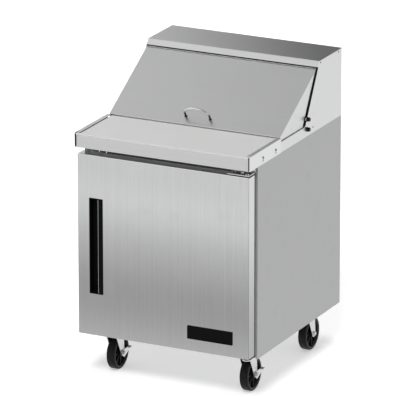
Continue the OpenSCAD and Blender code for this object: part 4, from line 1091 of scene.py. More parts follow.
for corner in WHEELS:
    node = "wheel_" + corner
    low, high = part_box(node)
    axle = Vector(joint_at["roll_" + corner]["pos_m"])
    ribs = grow(node + "_ribs", SPOKES, [], Spoke=rib, Count=RIBS, Axle=axle, Finish=finish_of(node))
    disc = lathe(wheel_profile((high.x - low.x) / 2), WHEEL_STEPS, closed=True)
    disc.transform(Matrix.Translation(axle) @ Matrix.Rotation(math.pi / 2, 4, "Y"))
    stand_in(node, joined(node, as_mesh(node + "_disc", disc), ribs))
print("wheels turned with", RIBS, "ribs each")

# %% [markdown]
# ## The lid's bow handle
# The handle is a round bar bent to a bow, with two legs that splay a little. A bent bar is a
# curve with a thickness, so its centre line is drawn as a few points, the corners between them
# are rounded, and the curve is given a bevel. The bar swells towards the crown of the bow, where
# the hand is, and a small flange closes each foot on the lid.


# %% A bent bar
FILLET_STEPS = 6


def filleted(points, radius):
    """The corners of a path rounded by short parabolas."""
    path = [points[0]]
    for before, corner, after in zip(points, points[1:], points[2:]):
        start = corner + (before - corner).normalized() * min(radius, (before - corner).length / 2)
        end = corner + (after - corner).normalized() * min(radius, (after - corner).length / 2)
        for share in spaced(0, 1, FILLET_STEPS):
            path.append(start.lerp(corner, share).lerp(corner.lerp(end, share), share))
    return path + [points[-1]]


def bent_bar(name, path, radius, closed=False, sides=3, swell=lambda place: 1.0):
    """A mesh of a round bar along a path; swell says how much thicker it is at a place."""
    curve = bpy.data.curves.new(name, "CURVE")
    curve.dimensions = "3D"
    curve.bevel_depth = radius
    curve.bevel_resolution = sides
    curve.use_fill_caps = True
    spline = curve.splines.new("POLY")
    spline.use_cyclic_u = closed
    spline.points.add(len(path) - 1)
    for point, place in zip(spline.points, path):
        point.co = (*place, 1)
        point.radius = swell(place)
    work = bmesh.new()
    work.from_mesh(plain_mesh(new_object(name, curve)))
    bmesh.ops.remove_doubles(work, verts=work.verts, dist=WELD)
    bmesh.ops.recalc_face_normals(work, faces=work.faces)
    return as_mesh(name, work)


print("bent bars have corners of", FILLET_STEPS, "points")

# %% The bow and its feet
GRIP_BACK = 37.5 * MM
GRIP_HALF = 49 * MM
GRIP_CORNER = 52 * MM
GRIP_LEG = 28 * MM
GRIP_BOW = 22 * MM
GRIP_R = 3.5 * MM
GRIP_FILLET = 9 * MM
GRIP_SWELL = 0.45
BOW_POINTS = 25
# Points of the bow that each rounded corner takes the place of.
BOW_CORNER = 7
FLANGE_R = 5.6 * MM
FLANGE_SINK = 0.4 * MM
FLANGE_SIDES = 24


def crown_swell(place):
    """Thickest in the middle of the bow, and as thin as the legs at its corners."""
    return 1 + GRIP_SWELL * max(0.0, 1 - (place.x / GRIP_CORNER) ** 2)


slope_turn = math.atan2(up_slope.z, up_slope.y)
grip_place = Matrix.Translation(LID_FRONT + up_slope * GRIP_BACK) @ Matrix.Rotation(slope_turn, 4, "X")

bow_r = (GRIP_CORNER**2 + GRIP_BOW**2) / (2 * GRIP_BOW)
bow_turn = math.asin(GRIP_CORNER / bow_r)
bow_mid = GRIP_LEG + GRIP_BOW - bow_r
bow = []
arm = bow_r - GRIP_R
for turn in spaced(-bow_turn, bow_turn, BOW_POINTS):
    bow.append(Vector((arm * math.sin(turn), 0, bow_mid + arm * math.cos(turn))))
feet = [Vector((-GRIP_HALF, 0, 0)), Vector((GRIP_HALF, 0, 0))]
leg = filleted([feet[0], bow[0], bow[BOW_CORNER // 2], bow[BOW_CORNER - 1]], GRIP_FILLET)
path = leg + bow[BOW_CORNER:-BOW_CORNER]
path += [Vector((-point.x, point.y, point.z)) for point in reversed(leg)]
bar = bent_bar("lid_bow", path, GRIP_R, sides=4, swell=crown_swell)
flange = [
    (0, -FLANGE_SINK),
    (FLANGE_R, -FLANGE_SINK),
    (FLANGE_R, 1.1 * MM),
    (GRIP_R + 0.6 * MM, 2 * MM),
    (0, 2.4 * MM),
]
parts = [bar]
for foot in feet:
    ring = lathe(flange, FLANGE_SIDES)
    ring.transform(Matrix.Translation(foot))
    parts.append(as_mesh("lid_bow_flange", ring))
handle = joined("lid_handle", *parts)
handle.transform(grip_place)
stand_in("lid_handle", handle)
print("lid handle from", len(path), "points")

# %% [markdown]
# ## The door pull
# The pull is a long black cup let into the door, with a lip on its right that the fingers hook
# behind. A bright metal edge is clipped on that lip, and in the photograph it is the thin line
# of light inside the cup. It is a bar with a flat oval section, so it is made of two straight
# sides and two rounded edges.

# %% Bright edge on the pull's lip
PULL_INNER = 4 * MM
PULL_LIP = 14 * MM
EDGE_W = 3.4 * MM
EDGE_OUT = 0.7 * MM
EDGE_IN = 5.0 * MM
EDGE_CLEAR = 0.3 * MM
EDGE_ROUND = 0.6 * MM
EDGE_STEPS = 4

low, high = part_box("door_handle")
lip_x = high.x - PULL_INNER - PULL_LIP
edge = bmesh.new()
block(
    edge,
    (lip_x - EDGE_W / 2, low.y + EDGE_OUT, low.z + PULL_INNER + EDGE_CLEAR),
    (lip_x + EDGE_W / 2, low.y + EDGE_OUT + EDGE_IN, high.z - PULL_INNER - EDGE_CLEAR),
)
round_edges(edge, upright_edges(edge), EDGE_ROUND, EDGE_STEPS)
add_piece("pull_edge", as_mesh("pull_edge", edge), FINISH["handle_steel"], "door")
print("pull edge at x", round(lip_x / MM, 1), "mm")

# %% [markdown]
# ## Food pans
# The pans under the lid are deep drawn from one sheet, so every corner is round and there is no
# seam: a rolled rim, a step for stacking and a rounded floor. Such a shell is a loft, a stack of
# rounded rectangles that go up the outside, over the rim and down the inside. One pan is
# lofted, and Geometry Nodes lays a row of it across the opening.

# %% One lofted pan
PAN_W = 162 * MM
PAN_L = 176 * MM
PAN_GAP = 0.5 * MM
PAN_RIM = 2.4 * MM
PAN_STEPS = 5
# Each ring: how far inside the rim's outer edge, corner radius and height above the rim's foot.
PAN_RINGS = [
    (21, 10, -100),
    (16, 12, -99.4),
    (13, 15, -96),
    (12.2, 16, -91),
    (12, 16, -26),
    (11.6, 16, -23.4),
    (9.4, 16, -21.4),
    (9, 16, -19),
    (8.8, 16, -1.6),
    (6.6, 15, -0.05),
    (1.0, 9, 0.0),
    (0.25, 8, 0.5),
    (0.25, 8, 1.6),
    (1.2, 8.4, 2.4),
    (7.2, 13, 2.4),
    (9.2, 15, 1.6),
    (10, 15, -0.6),
    (10.2, 15, -17.6),
    (10.8, 15, -19.6),
    (12.6, 15, -21.6),
    (13, 15, -24.4),
    (13.2, 15, -91),
    (14, 14, -95.6),
    (17, 11, -98.4),
    (22, 9, -99),
]


def round_ring(width, length, radius, height, steps):
    """Points of a rectangle with round corners, all at one height."""
    points = []
    for quarter, (sx, sy) in enumerate([(1, 1), (-1, 1), (-1, -1), (1, -1)]):
        middle = Vector((sx * (width / 2 - radius), sy * (length / 2 - radius), height))
        for turn in spaced(quarter * math.pi / 2, (quarter + 1) * math.pi / 2, steps):
            points.append(middle + Vector((radius * math.cos(turn), radius * math.sin(turn), 0)))
    return points


def loft(rings, endless=False):
    """A bmesh over rings of equally many points, which is capped or runs back into its start."""
    work = bmesh.new()
    loops = [[work.verts.new(point) for point in ring] for ring in rings]
    followers = loops[1:] + loops[:1] if endless else loops[1:]
    for low_loop, high_loop in zip(loops, followers):
        for i in range(len(low_loop)):
            j = (i + 1) % len(low_loop)
            work.faces.new((low_loop[i], low_loop[j], high_loop[j], high_loop[i]))
    if not endless:
        work.faces.new(loops[0])
        work.faces.new(loops[-1])
    bmesh.ops.recalc_face_normals(work, faces=work.faces)
    return work


rings = []
for inset, radius, height in PAN_RINGS:
    width, length = PAN_W - 2 * inset * MM, PAN_L - 2 * inset * MM
    rings.append(round_ring(width, length, radius * MM, height * MM, PAN_STEPS))
pan = pattern_of("pan", as_mesh("pan", loft(rings)))
print("pan lofted over", len(rings), "rings")


# %% Pans in a grown row
def point_line(count, start, step):
    """Points in a straight line inside a tree."""
    places = {"Count": count, "Start Location": start, "Offset": step}
    return count.node("GeometryNodeMeshLine", {"mode": "OFFSET"}, places)


wires = geometry_tree("row", {"Item": "Object", "Count": "Int", "Start": "Vector", "Step": "Vector"})
line = point_line(wires["Count"], wires["Start"], wires["Step"])
ROW = close_tree(on_points(line, shape_of(wires["Item"])), wires["Finish"])


def lay_row(name, item, count, start, step, finish):
    """The mesh of one pattern repeated along a straight line."""
    return grow(name, ROW, [], Item=item, Count=count, Start=start, Step=step, Finish=finish)


for node in ("front_pans", "rear_pans"):
    low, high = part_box(node)
    count = round((high.x - low.x) / PAN_W)
    start = Vector((low.x - PAN_GAP / 2 + PAN_W / 2, (low.y + high.y) / 2, high.z - PAN_RIM))
    stand_in(node, lay_row(node, pan, count, start, (PAN_W, 0, 0), finish_of(node)))
    print(node, "has", count, "pans")

# %% [markdown]
# ## Pressed louvres on the grille
# Each louvre is a slit with one lip pressed out into a small curved hood. The hood starts flush
# at both ends and bulges between them. One hood is lofted from its sections, and Geometry Nodes
# repeats it in rows and columns over the slits of the grille.

# %% One louvre
LOUVRE_PITCH = 22 * MM
LOUVRE_TOP = 16.5 * MM
LOUVRE_TOE = 2.6 * MM
LOUVRE_SKIN = 0.9 * MM
GRILLE_FRAME = 14 * MM
GRILLE_COLUMNS = 2
LOUVRE_PROUD = 0.2 * MM
LOUVRE_THIN = 0.05 * MM
LOUVRE_STEPS = 8
# Each section: distance from the hood's end as a share of the ramp, and how far it stands out.
LOUVRE_RAMP = [(0.0, 0.06), (0.2, 0.4), (0.45, 0.74), (0.75, 0.95), (1.0, 1.0)]
LOUVRE_RAMP_L = 12 * MM

low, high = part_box("rear_grille")
grille_face = rim_face("rear_grille", 1)
louvre_reach = high.y - grille_face + LOUVRE_PROUD
louvre_w = (high.x - low.x - (GRILLE_COLUMNS + 1) * GRILLE_FRAME) / GRILLE_COLUMNS
louvre_rows = math.floor((high.z - low.z - 2 * GRILLE_FRAME) / LOUVRE_PITCH)
first_z = (low.z + high.z - louvre_rows * LOUVRE_PITCH) / 2


def louvre_section(x, share):
    """A closed loop round the hood's skin at one place along it."""
    loop = []
    quarter = spaced(0, math.pi / 2, LOUVRE_STEPS)
    for skin, turns in ((0, spaced(math.pi / 2, 0, LOUVRE_STEPS)), (LOUVRE_SKIN, quarter)):
        out = max(louvre_reach * share - skin, LOUVRE_THIN)
        rise = LOUVRE_TOP - LOUVRE_TOE - skin
        for turn in turns:
            loop.append(Vector((x, out * math.cos(turn), LOUVRE_TOE + rise * math.sin(turn))))
    return loop


ends = [(share * LOUVRE_RAMP_L, out) for share, out in LOUVRE_RAMP]
ends += [(louvre_w - along, out) for along, out in reversed(ends)]
louvre = pattern_of("louvre", as_mesh("louvre", loft([louvre_section(x, out) for x, out in ends])))
print("louvre is", round(louvre_w / MM, 1), "mm wide")

# %% Louvres on a grown grid
counts = {"Rows": "Int", "Columns": "Int"}
vectors = {"Start": "Vector", "Up": "Vector", "Across": "Vector"}
wires = geometry_tree("grid", {"Item": "Object", **counts, **vectors})
up_line = point_line(wires["Rows"], (0, 0, 0), wires["Up"])
column = on_points(up_line, shape_of(wires["Item"]))
cross_line = point_line(wires["Columns"], wires["Start"], wires["Across"])
GRID = close_tree(on_points(cross_line, column), wires["Finish"])

made = grow(
    "grille_louvres",
    GRID,
    [],
    Item=louvre,
    Rows=louvre_rows,
    Columns=GRILLE_COLUMNS,
    Start=(low.x + GRILLE_FRAME, grille_face, first_z),
    Up=(0, 0, LOUVRE_PITCH),
    Across=(louvre_w + GRILLE_FRAME, 0, 0),
    Finish=finish_of("rear_grille"),
)
add_piece("grille_louvres", made, finish_of("rear_grille"), "cabinet")
print("louvres:", louvre_rows, "rows of", GRILLE_COLUMNS)

# %% [markdown]
# ## Finned coils
# The condenser and the evaporator are a serpentine of tube pushed through a pack of thin fins.
# The solids have a few thick fins, enough for their weight. Here one wavy fin of a few faces is
# repeated close together along the coil, and the tube is one bent bar that runs to and fro.

# %% One fin and the path of a tube
FIN_T = 0.3 * MM
FIN_WAVE = 0.35 * MM
FIN_PITCH = 3.2 * MM
FIN_INSET = 2 * MM
FIN_STEPS = 9
TUBE_R = 4.5 * MM
TUBE_BEND = 12 * MM
TUBE_RUNS = {"condenser_coil": 8, "evaporator_coil": 7}
TUBE_OUT = 6 * MM
END_T = 2 * MM


def wavy_fin(depth, height):
    """A thin upright plate with a shallow wave, standing on the origin."""
    loops = []
    for i, z in enumerate(spaced(0, height, FIN_STEPS)):
        lean = FIN_WAVE * (i % 2)
        corners = [(0, 0), (FIN_T, 0), (FIN_T, depth), (0, depth)]
        loops.append([Vector((x + lean, y, z)) for x, y in corners])
    return as_mesh("fin", loft(loops))


def serpentine(low, high, tubes):
    """The centre line of a tube that goes to and fro between two ends."""
    y = (low.y + high.y) / 2
    heights = [low.z + (high.z - low.z) * (i + 0.5) / tubes for i in range(tubes)]
    points = []
    for i, z in enumerate(heights):
        ends = (low.x, high.x) if i % 2 == 0 else (high.x, low.x)
        points += [Vector((x, y, z)) for x in ends]
    return filleted(points, TUBE_BEND)


print("fins stand", round(FIN_PITCH / MM, 1), "mm apart")

# %% Dense fins and serpentine tubes
for node, tubes in TUBE_RUNS.items():
    low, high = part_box(node)
    side = Vector((TUBE_OUT, 0, 0))
    plates = bmesh.new()
    block(plates, low + side, (low.x + TUBE_OUT + END_T, high.y, high.z))
    block(plates, (high.x - TUBE_OUT - END_T, low.y, low.z), high - side)
    fin_depth, fin_height = high.y - low.y - 2 * FIN_INSET, high.z - low.z - 2 * FIN_INSET
    fin = pattern_of(node + "_fin", wavy_fin(fin_depth, fin_height))
    start = Vector((low.x + TUBE_OUT + END_T + FIN_PITCH, low.y + FIN_INSET, low.z + FIN_INSET))
    count = math.floor((high.x - TUBE_OUT - END_T - start.x) / FIN_PITCH)
    fins = lay_row(node, fin, count, start, (FIN_PITCH, 0, 0), finish_of(node))
    stand_in(node, joined(node, as_mesh(node + "_plates", plates), fins))
    tube = bent_bar(node + "_tube", serpentine(low, high, tubes), TUBE_R, sides=2)
    add_piece(node + "_tube", tube, FINISH["copper"], body_of_node[node])
    print(node, "has", count, "fins and", tubes, "runs of tube")

# %% [markdown]
# ## Door seal
# A fridge door closes on a soft hollow strip: a foot in the door, a thin waist that gives, and
# a wide head with a magnet in it. The strip keeps one section all the way round, so its section
# is drawn once and carried round the four mitred corners.

# %% The seal's section round the door
SEAL_HALF = 8 * MM
low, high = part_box("door_seal")
seal_d = high.y - low.y
# Across the strip as a share of its half width, and how deep as a share of its depth.
SEAL_SECTION = [
    (-1.0, 0.0), (-1.0, 0.12), (-0.86, 0.2), (-0.5, 0.26), (-0.34, 0.34), (-0.46, 0.42), (-0.3, 0.5),
    (-0.44, 0.58), (-0.62, 0.66), (-0.8, 0.72), (-0.82, 0.93), (-0.7, 1.0), (-0.12, 0.985),
]
section = SEAL_SECTION + [(-across, deep) for across, deep in reversed(SEAL_SECTION)]
loops = []
for sx, sz in ((-1, -1), (1, -1), (1, 1), (-1, 1)):
    corner = Vector((
        (low.x + high.x + sx * (high.x - low.x - 2 * SEAL_HALF)) / 2,
        low.y,
        (low.z + high.z + sz * (high.z - low.z - 2 * SEAL_HALF)) / 2,
    ))
    loop = []
    for across, deep in section:
        loop.append(corner + Vector((sx * across * SEAL_HALF, deep * seal_d, sz * across * SEAL_HALF)))
    loops.append(loop)
stand_in("door_seal", as_mesh("door_seal", loft(loops, endless=True)))
print("seal section has", len(section), "points")

# %% [markdown]
# ## Wire shelf
# The shelf is welded from round wire and dipped in white coating: a frame bent round its
# corners, a bar across the middle, and a row of thinner wires on top. The frame is a bent bar
# and the wires are one round-ended rod, repeated by the same tree that laid the pans.

# %% Frame and wires
ROD_R = 4 * MM
WIRE_R = 2 * MM
WIRE_OVER = 2 * MM
WIRE_SIDES = 8
SHELF_WIRES = 19
SHELF_CORNER = 18 * MM

low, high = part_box("wire_shelf")
frame_z = low.z + ROD_R
x0, x1, y0, y1 = low.x + ROD_R, high.x - ROD_R, low.y + ROD_R, high.y - ROD_R
middle_y = (y0 + y1) / 2
corners = [(0, y0), (x1, y0), (x1, y1), (x0, y1), (x0, y0), (0, y0)]
hoop = filleted([Vector((x, y, frame_z)) for x, y in corners], SHELF_CORNER)[:-1]
hoop_bar = bent_bar("shelf_frame", hoop, ROD_R, closed=True)
cross = bent_bar("shelf_cross", [Vector((x0, middle_y, frame_z)), Vector((x1, middle_y, frame_z))], ROD_R)
half_l = (y1 - y0) / 2 + WIRE_OVER
profile = [(0, -half_l), (0.6 * WIRE_R, -half_l + 0.2 * WIRE_R), (WIRE_R, -half_l + WIRE_R)]
rod = lathe(profile + [(radius, -height) for radius, height in reversed(profile)], WIRE_SIDES)
rod.transform(Matrix.Rotation(math.pi / 2, 4, "X"))
wire = pattern_of("wire", as_mesh("wire", rod))
step = (x1 - x0) / (SHELF_WIRES + 1)
start = Vector((x0 + step, middle_y, high.z - WIRE_R))
wires_made = lay_row("wire_shelf", wire, SHELF_WIRES, start, (step, 0, 0), finish_of("wire_shelf"))
stand_in("wire_shelf", joined("wire_shelf", hoop_bar, cross, wires_made))
print("shelf:", SHELF_WIRES, "wires on a bent frame")

# %% [markdown]
# ## Small hardware
# The caster plates, forks and brake levers are stamped from thick zinc-plated strip. Their cut
# edges are broken by tumbling, so a fine round on the edges is enough. Each plate hangs on four
# hexagon bolts with washers.

# %% Rounded stampings and plate bolts
STAMPED_ROUND = 0.35 * MM
BOLT_X = 23 * MM
BOLT_Y = 37 * MM
PLATE_T = 4 * MM

STAMPED = ["caster_plates", "shelf_pilasters", "brake_left", "brake_right"]
STAMPED += ["fork_" + corner for corner in WHEELS]
for node in STAMPED:
    print("rounded", rounded(node, STAMPED_ROUND), "edges of", node)

bolt_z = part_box("caster_plates")[1].z - PLATE_T
places = []
for corner in WHEELS:
    swivel = Vector(joint_at["swivel_" + corner]["pos_m"])
    for sx in (-1, 1):
        for sy in (-1, 1):
            places.append(Vector((swivel.x + sx * BOLT_X, swivel.y + sy * BOLT_Y, bolt_z)))
fasten("plate_bolts", "bolt", "down", places, "zinc_steel")
print("plate bolts:", len(places))

# %% [markdown]
# ## Foot tread of the brakes
# The end of each brake lever is a foot tread with a few pressed ridges, so that a shoe does not
# slip. They are one ridge repeated along the tread. The tread is tilted with its lever, so the
# row is laid flat and then turned about the axle.

# %% Grown ridges
LEVER_L = 48 * MM
LEVER_TILT = math.radians(8)
LEVER_HALF = 7 * MM
TREAD_L = 18 * MM
TREAD_W = 14 * MM
TREAD_MARGIN = 2 * MM
RIDGES = 5
RIDGE_R = 0.9 * MM
RIDGE_TIP = 0.4 * MM
RIDGE_L = TREAD_W - 2 * MM
RIDGE_SIDES = 8

ridge_profile = [(0, 0), (RIDGE_R, RIDGE_TIP), (RIDGE_R, RIDGE_L - RIDGE_TIP), (0, RIDGE_L)]
ridge_shape = lathe(ridge_profile, RIDGE_SIDES)
ridge_shape.transform(Matrix.Rotation(math.pi / 2, 4, "Y"))
ridge = pattern_of("ridge", as_mesh("ridge", ridge_shape))
for side in ("left", "right"):
    node = "brake_" + side
    name = node + "_ridges"
    axle = Vector(joint_at["roll_front_" + side]["pos_m"])
    ridge_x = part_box(node)[1].x - axle.x - (TREAD_W + RIDGE_L) / 2
    start = Vector((ridge_x, LEVER_L - TREAD_L + TREAD_MARGIN, LEVER_HALF))
    step = (0, (TREAD_L - 2 * TREAD_MARGIN) / (RIDGES - 1), 0)
    made = lay_row(name, ridge, RIDGES, start, step, finish_of(node))
    made.transform(Matrix.Translation(axle) @ Matrix.Rotation(LEVER_TILT, 4, "X"))
    add_piece(name, made, finish_of(node), body_of_node[node])
print("ridges on each tread:", RIDGES)

# %% [markdown]
# ## Head and nuts of the upper door hinge
# The upper hinge pin ends in a round head on its bracket, and two nuts beside it hold the
# bracket to the cabinet.

# %% Hinge head and nuts
PIN_HEAD_R = 7.5 * MM
PIN_HEAD_SIDES = 24
STRAP_T = 3 * MM
STRAP_GAP = 2 * MM
# How far the nuts are to the left of the pin and behind it.
NUT_LEFT = (24 * MM, 52 * MM)
NUT_BEHIND = 12 * MM

hinge_at = Vector(joint_at["door_hinge"]["pos_m"])
strap_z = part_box("door_skin")[1].z + STRAP_GAP + STRAP_T
head_profile = [
    (0, -1 * MM),
    (PIN_HEAD_R, -1 * MM),
    (PIN_HEAD_R, 1.6 * MM),
    (PIN_HEAD_R - 1.2 * MM, 3 * MM),
    (0, 3.4 * MM),
]
head = lathe(head_profile, PIN_HEAD_SIDES)
head.transform(Matrix.Translation((hinge_at.x, hinge_at.y, strap_z)))
pin_head = as_mesh("hinge_pin_head", head)
add_piece("hinge_pin_head", pin_head, FINISH["handle_steel"], "cabinet")
places = [Vector((hinge_at.x - left, hinge_at.y + NUT_BEHIND, strap_z)) for left in NUT_LEFT]
fasten("hinge_nuts", "bolt", "up", places, "handle_steel", seed=19)
print("hinge head and", len(places), "nuts set")

# %% [markdown]
# ## Trim of the tray and the front
# At each end of the tray's nose the folded end plate stands a little off the front, and a
# black strip there is painted shade of the gap. Two small clips hang under the left of the nose.
# Behind the door's edges a satin flange runs up each side of the front frame. All of these are
# straight strips, so blocks do for them, and most come in pairs, one on each side of the table.

# %% Tray gaps, tabs and side flanges
GAP_W = 3.6 * MM
GAP_PROUD = 0.15 * MM
GAP_SINK = 0.4 * MM
GAP_FROM_END = 2.4 * MM
GAP_MARGIN = 2.0 * MM
TAB_X = (-252 * MM, -223.5 * MM)
TAB_W = 3.5 * MM
TAB_T = 1.6 * MM
TAB_DROP = 6.5 * MM
TAB_REACH = 6 * MM
FASCIA_REAR = 3.8 * MM
SIDE_FLANGE_W = 24 * MM
SIDE_FLANGE_T = 0.6 * MM
SIDE_FLANGE_IN = 0.2 * MM
SIDE_FLANGE_DOWN = 1 * MM
TRIM_ROUND = 0.25 * MM


def block_pair(work, near, far, low, high):
    """A box on each side, from near to far off the middle; low and high are corners in y and z."""
    for side in (-1, 1):
        left, right = sorted((side * near, side * far))
        block(work, (left, *low), (right, *high))


def add_trim(name, work, node, finish):
    """Breaks the edges of a trim and adds it to a node's body."""
    round_edges(work, work.edges[:], TRIM_ROUND, FOLD_STEPS)
    add_piece(name, as_mesh(name, work), finish, body_of_node[node])


low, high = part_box("board_tray")
# A black strip at each end of the nose is painted shade of the gap there.
gap_x = high.x - GAP_FROM_END
gap_low = (low.y - GAP_PROUD, low.z + GAP_MARGIN)
gap_high = (low.y + GAP_SINK, high.z - GAP_MARGIN)
gap_shades = bmesh.new()
block_pair(gap_shades, gap_x - GAP_W, gap_x, gap_low, gap_high)
gap_shade_mesh = as_mesh("tray_end_gaps", gap_shades)
add_piece("tray_end_gaps", gap_shade_mesh, FINISH["seal_rubber"], "cabinet")

tabs = bmesh.new()
tab_y = low.y + FASCIA_REAR
tab_z = low.z - TAB_DROP
for x in TAB_X:
    block(tabs, (x, tab_y, tab_z), (x + TAB_W, tab_y + TAB_T, low.z + TAB_REACH))
    block(tabs, (x, tab_y - TAB_T, tab_z), (x + TAB_W, tab_y, tab_z + TAB_T))
add_trim("tray_tabs", tabs, "board_tray", FINISH["handle_steel"])

low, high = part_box("front_frame")
side_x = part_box("side_panel_right")[1].x
flange_low = (low.y - SIDE_FLANGE_T, low.z)
flange_high = (low.y + SIDE_FLANGE_T, high.z - SIDE_FLANGE_DOWN)
flanges = bmesh.new()
block_pair(flanges, side_x - SIDE_FLANGE_W, side_x - SIDE_FLANGE_IN, flange_low, flange_high)
add_trim("side_flanges", flanges, "front_frame", FINISH["flange_satin"])
print("tray gaps, tabs and side flanges set")

# %% [markdown]
# ## Ends of the lid's hinge and lips of its seal
# The hinge stops short of the hood's sides, because the seal turns its corner there. A short
# strip on the lid and one on the hood carry the steel on to the corner, each on its own side of
# the hinge line, so neither is in the way when the lid swings. The seal is gripped over the cut
# edge of the hood's sides, and its outer lip is the black line that shows beside the lid.

# %% Hinge end strips and seal lips
STRIP_X = (326.8 * MM, 342.6 * MM)
STRIP_T = 0.7 * MM
# From the lid's top edge towards the hood, along the lid's slope.
LID_STRIP = (-2 * MM, 5.4 * MM)
HOOD_STRIP = (7.5 * MM, 10.8 * MM)
LIP_FOOT = Vector((0, 75.3, 929.4)) * MM
LIP_TOP = Vector((0, 183.6, 1123.7)) * MM
LIP_W = 3.4 * MM
LIP_WRAP = 0.6 * MM
LIP_T = 0.5 * MM

lid_edge = Matrix.Translation(LID_TOP) @ Matrix.Rotation(slope_turn, 4, "X")
for node, (start, end) in {"lid_hinge_leaves": LID_STRIP, "hood_hinge_leaves": HOOD_STRIP}.items():
    strips = bmesh.new()
    block_pair(strips, *STRIP_X, (start, -STRIP_T), (end, 0))
    strips.transform(lid_edge)
    add_trim(node.replace("hinge_leaves", "end_strips"), strips, node, finish_of(node))

hood_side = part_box("hood_shell")[1].x
lip_run = LIP_TOP - LIP_FOOT
lip_turn = math.atan2(lip_run.z, lip_run.y)
lips = bmesh.new()
block_pair(lips, hood_side - LIP_WRAP, hood_side + LIP_T, (0, -LIP_W), (lip_run.length, LIP_WRAP))
lips.transform(Matrix.Translation(LIP_FOOT) @ Matrix.Rotation(lip_turn, 4, "X"))
add_trim("seal_lips", lips, "hood_seal", finish_of("hood_seal"))
print("hinge end strips and seal lips set")

# %% [markdown]
# ## Clips at the thumb screws and a bead under the lid
# Beside each upper thumb screw a small bright clip reaches over the seal and keeps its lip down.
# The lid's sides come down over a low bead along the counter, which leaves only a hairline
# between them. Both are short folded strips like the trim of the tray.

# %% Seal clips and counter beads
CLIP_Y = (78 * MM, 90 * MM)
CLIP_HALF = 5.0 * MM
CLIP_T = 2.4 * MM
CLIP_RISE = 3.6 * MM
THUMB_R = 7.8 * MM
BEAD_TOP = 1.6 * MM
BEAD_X = (340.5 * MM, 343.1 * MM)
BEAD_Y = (-118 * MM, 60 * MM)

clip_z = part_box("hood_thumb_screws")[1].z - THUMB_R + CLIP_RISE
clip_low, clip_high = (CLIP_Y[0], clip_z - CLIP_HALF), (CLIP_Y[1], clip_z + CLIP_HALF)
clips = bmesh.new()
block_pair(clips, hood_side, hood_side + CLIP_T, clip_low, clip_high)
# The clips are on the same body as the case screws.
add_trim("seal_clips", clips, "case_screws", FINISH["bright_steel"])

counter_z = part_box("lid_bumpers")[0].z
bead_low, bead_high = (BEAD_Y[0], counter_z - BEAD_TOP), (BEAD_Y[1], counter_z + BEAD_TOP)
beads = bmesh.new()
block_pair(beads, *BEAD_X, bead_low, bead_high)
add_trim("counter_beads", beads, "counter_top", finish_of("counter_top"))
print("seal clips and counter beads set")

# %% [markdown]
# ## Putting the patterns away
# Geometry Nodes took their shapes from pattern objects. Those are not pieces of the table, so
# they leave the scene when everything has grown from them.

# %% Patterns put away
for pattern in PATTERN.values():
    bpy.data.objects.remove(pattern)
print("patterns removed")

# %% [markdown]
# ## The studio floor
# The table stands on a white floor with no wall behind it. To the camera and to polished metal
# the floor is partly its own white and partly lit by the lamps, so that the soft shadow under
# the cabinet stays. Scattered light sees a plain pale floor. A real studio floor is not evenly
# bright from end to end, and the brushed door mirrors it, so the white that gloss sees has a
# few soft bands across the floor in front of the table.

# %% Floor
FLOOR_SIZE = 60.0
FLOOR_OWN_WHITE = 0.43
FLOOR_LIT_SHARE = 0.8
FLOOR_PLAIN = 0.8
BAND_START = -3.6
BAND_END = -0.4
# Share of the way from the bands' start to their end, and how white gloss sees the floor there.
FLOOR_BANDS = [
    (0.0, 0.8), (0.215, 0.86), (0.255, 0.36), (0.315, 0.52), (0.375, 1.16), (0.435, 0.86), (0.51, 0.6),
    (0.575, 0.63), (0.64, 0.63), (0.7, 0.53), (0.79, 0.72), (0.9, 0.95), (1.0, 1.0),
]


def light_path(wire, *kinds):
    """1 for rays of any of the named kinds and 0 for the rest."""
    rays = [wire.node("ShaderNodeLightPath", {}, {}, output="Is " + kind + " Ray") for kind in kinds]
    total = rays[0]
    for ray in rays[1:]:
        total = total.larger(ray)
    return total


def floor_finish():
    material, shader, place = blank_finish("studio_floor")
    tree = material.node_tree
    along = (axis_of(place, 1) - BAND_START) / (BAND_END - BAND_START)
    bands = along.ramp(*FLOOR_BANDS)
    glossy = light_path(place, "Glossy")
    own = place.node("ShaderNodeEmission", {}, {"Color": glossy.blend(grey(FLOOR_OWN_WHITE), bands)})
    share = glossy.blend(grey(FLOOR_LIT_SHARE), grey(0.0))
    lit = place.node("ShaderNodeBsdfDiffuse", {}, {"Color": share})
    white = place.node("ShaderNodeAddShader", {}, {0: own, 1: lit})
    plain = place.node("ShaderNodeBsdfDiffuse", {}, {"Color": grey(FLOOR_PLAIN)})
    seen = light_path(place, "Camera", "Glossy", "Transmission")
    both = place.node("ShaderNodeMixShader", {}, {0: seen, 1: plain, 2: white})
    tree.links.new(both.socket, tree.nodes["Material Output"].inputs["Surface"])
    tree.nodes.remove(shader)
    return material


def sheet_at(name, corners, finish):
    """A flat four-cornered sheet of the studio."""
    mesh = bpy.data.meshes.new(name)
    mesh.from_pydata(corners, [], [(0, 1, 2, 3)])
    mesh.materials.append(finish)
    made = new_object(name, mesh)
    return made


half = FLOOR_SIZE / 2
corners = [(-half, -half), (half, -half), (half, half), (-half, half)]
sheet_at("floor", [(*corner, 0) for corner in corners], floor_finish())
print("floor:", FLOOR_SIZE, "m square")

# %% [markdown]
# ## The sky, three cards and two lamps
# The sky is white near the ground and greyer overhead, which is what the lid's slope shows. It
# scatters less light than it shows, so that the lamps can cast a shadow. A photographer who
# shoots polished steel hangs a dark card where a flat top would otherwise mirror bare white. One
# hangs behind the table, out of the picture: only gloss sees it, and it shades from pale on the
# left to dark on the right. Another hangs round the camera, where the polished handle and the
# wheels would otherwise mirror nothing but white, and a third is the roof over the table. Either
# lamp alone brings the floor to white, so a shadow shows only where both are blocked, which is
# close under the cabinet.

# %% Sky
SKY_TOP = 0.62
SKY_SCATTERED = 0.45
SKY_FADE = (0.5, 0.95)

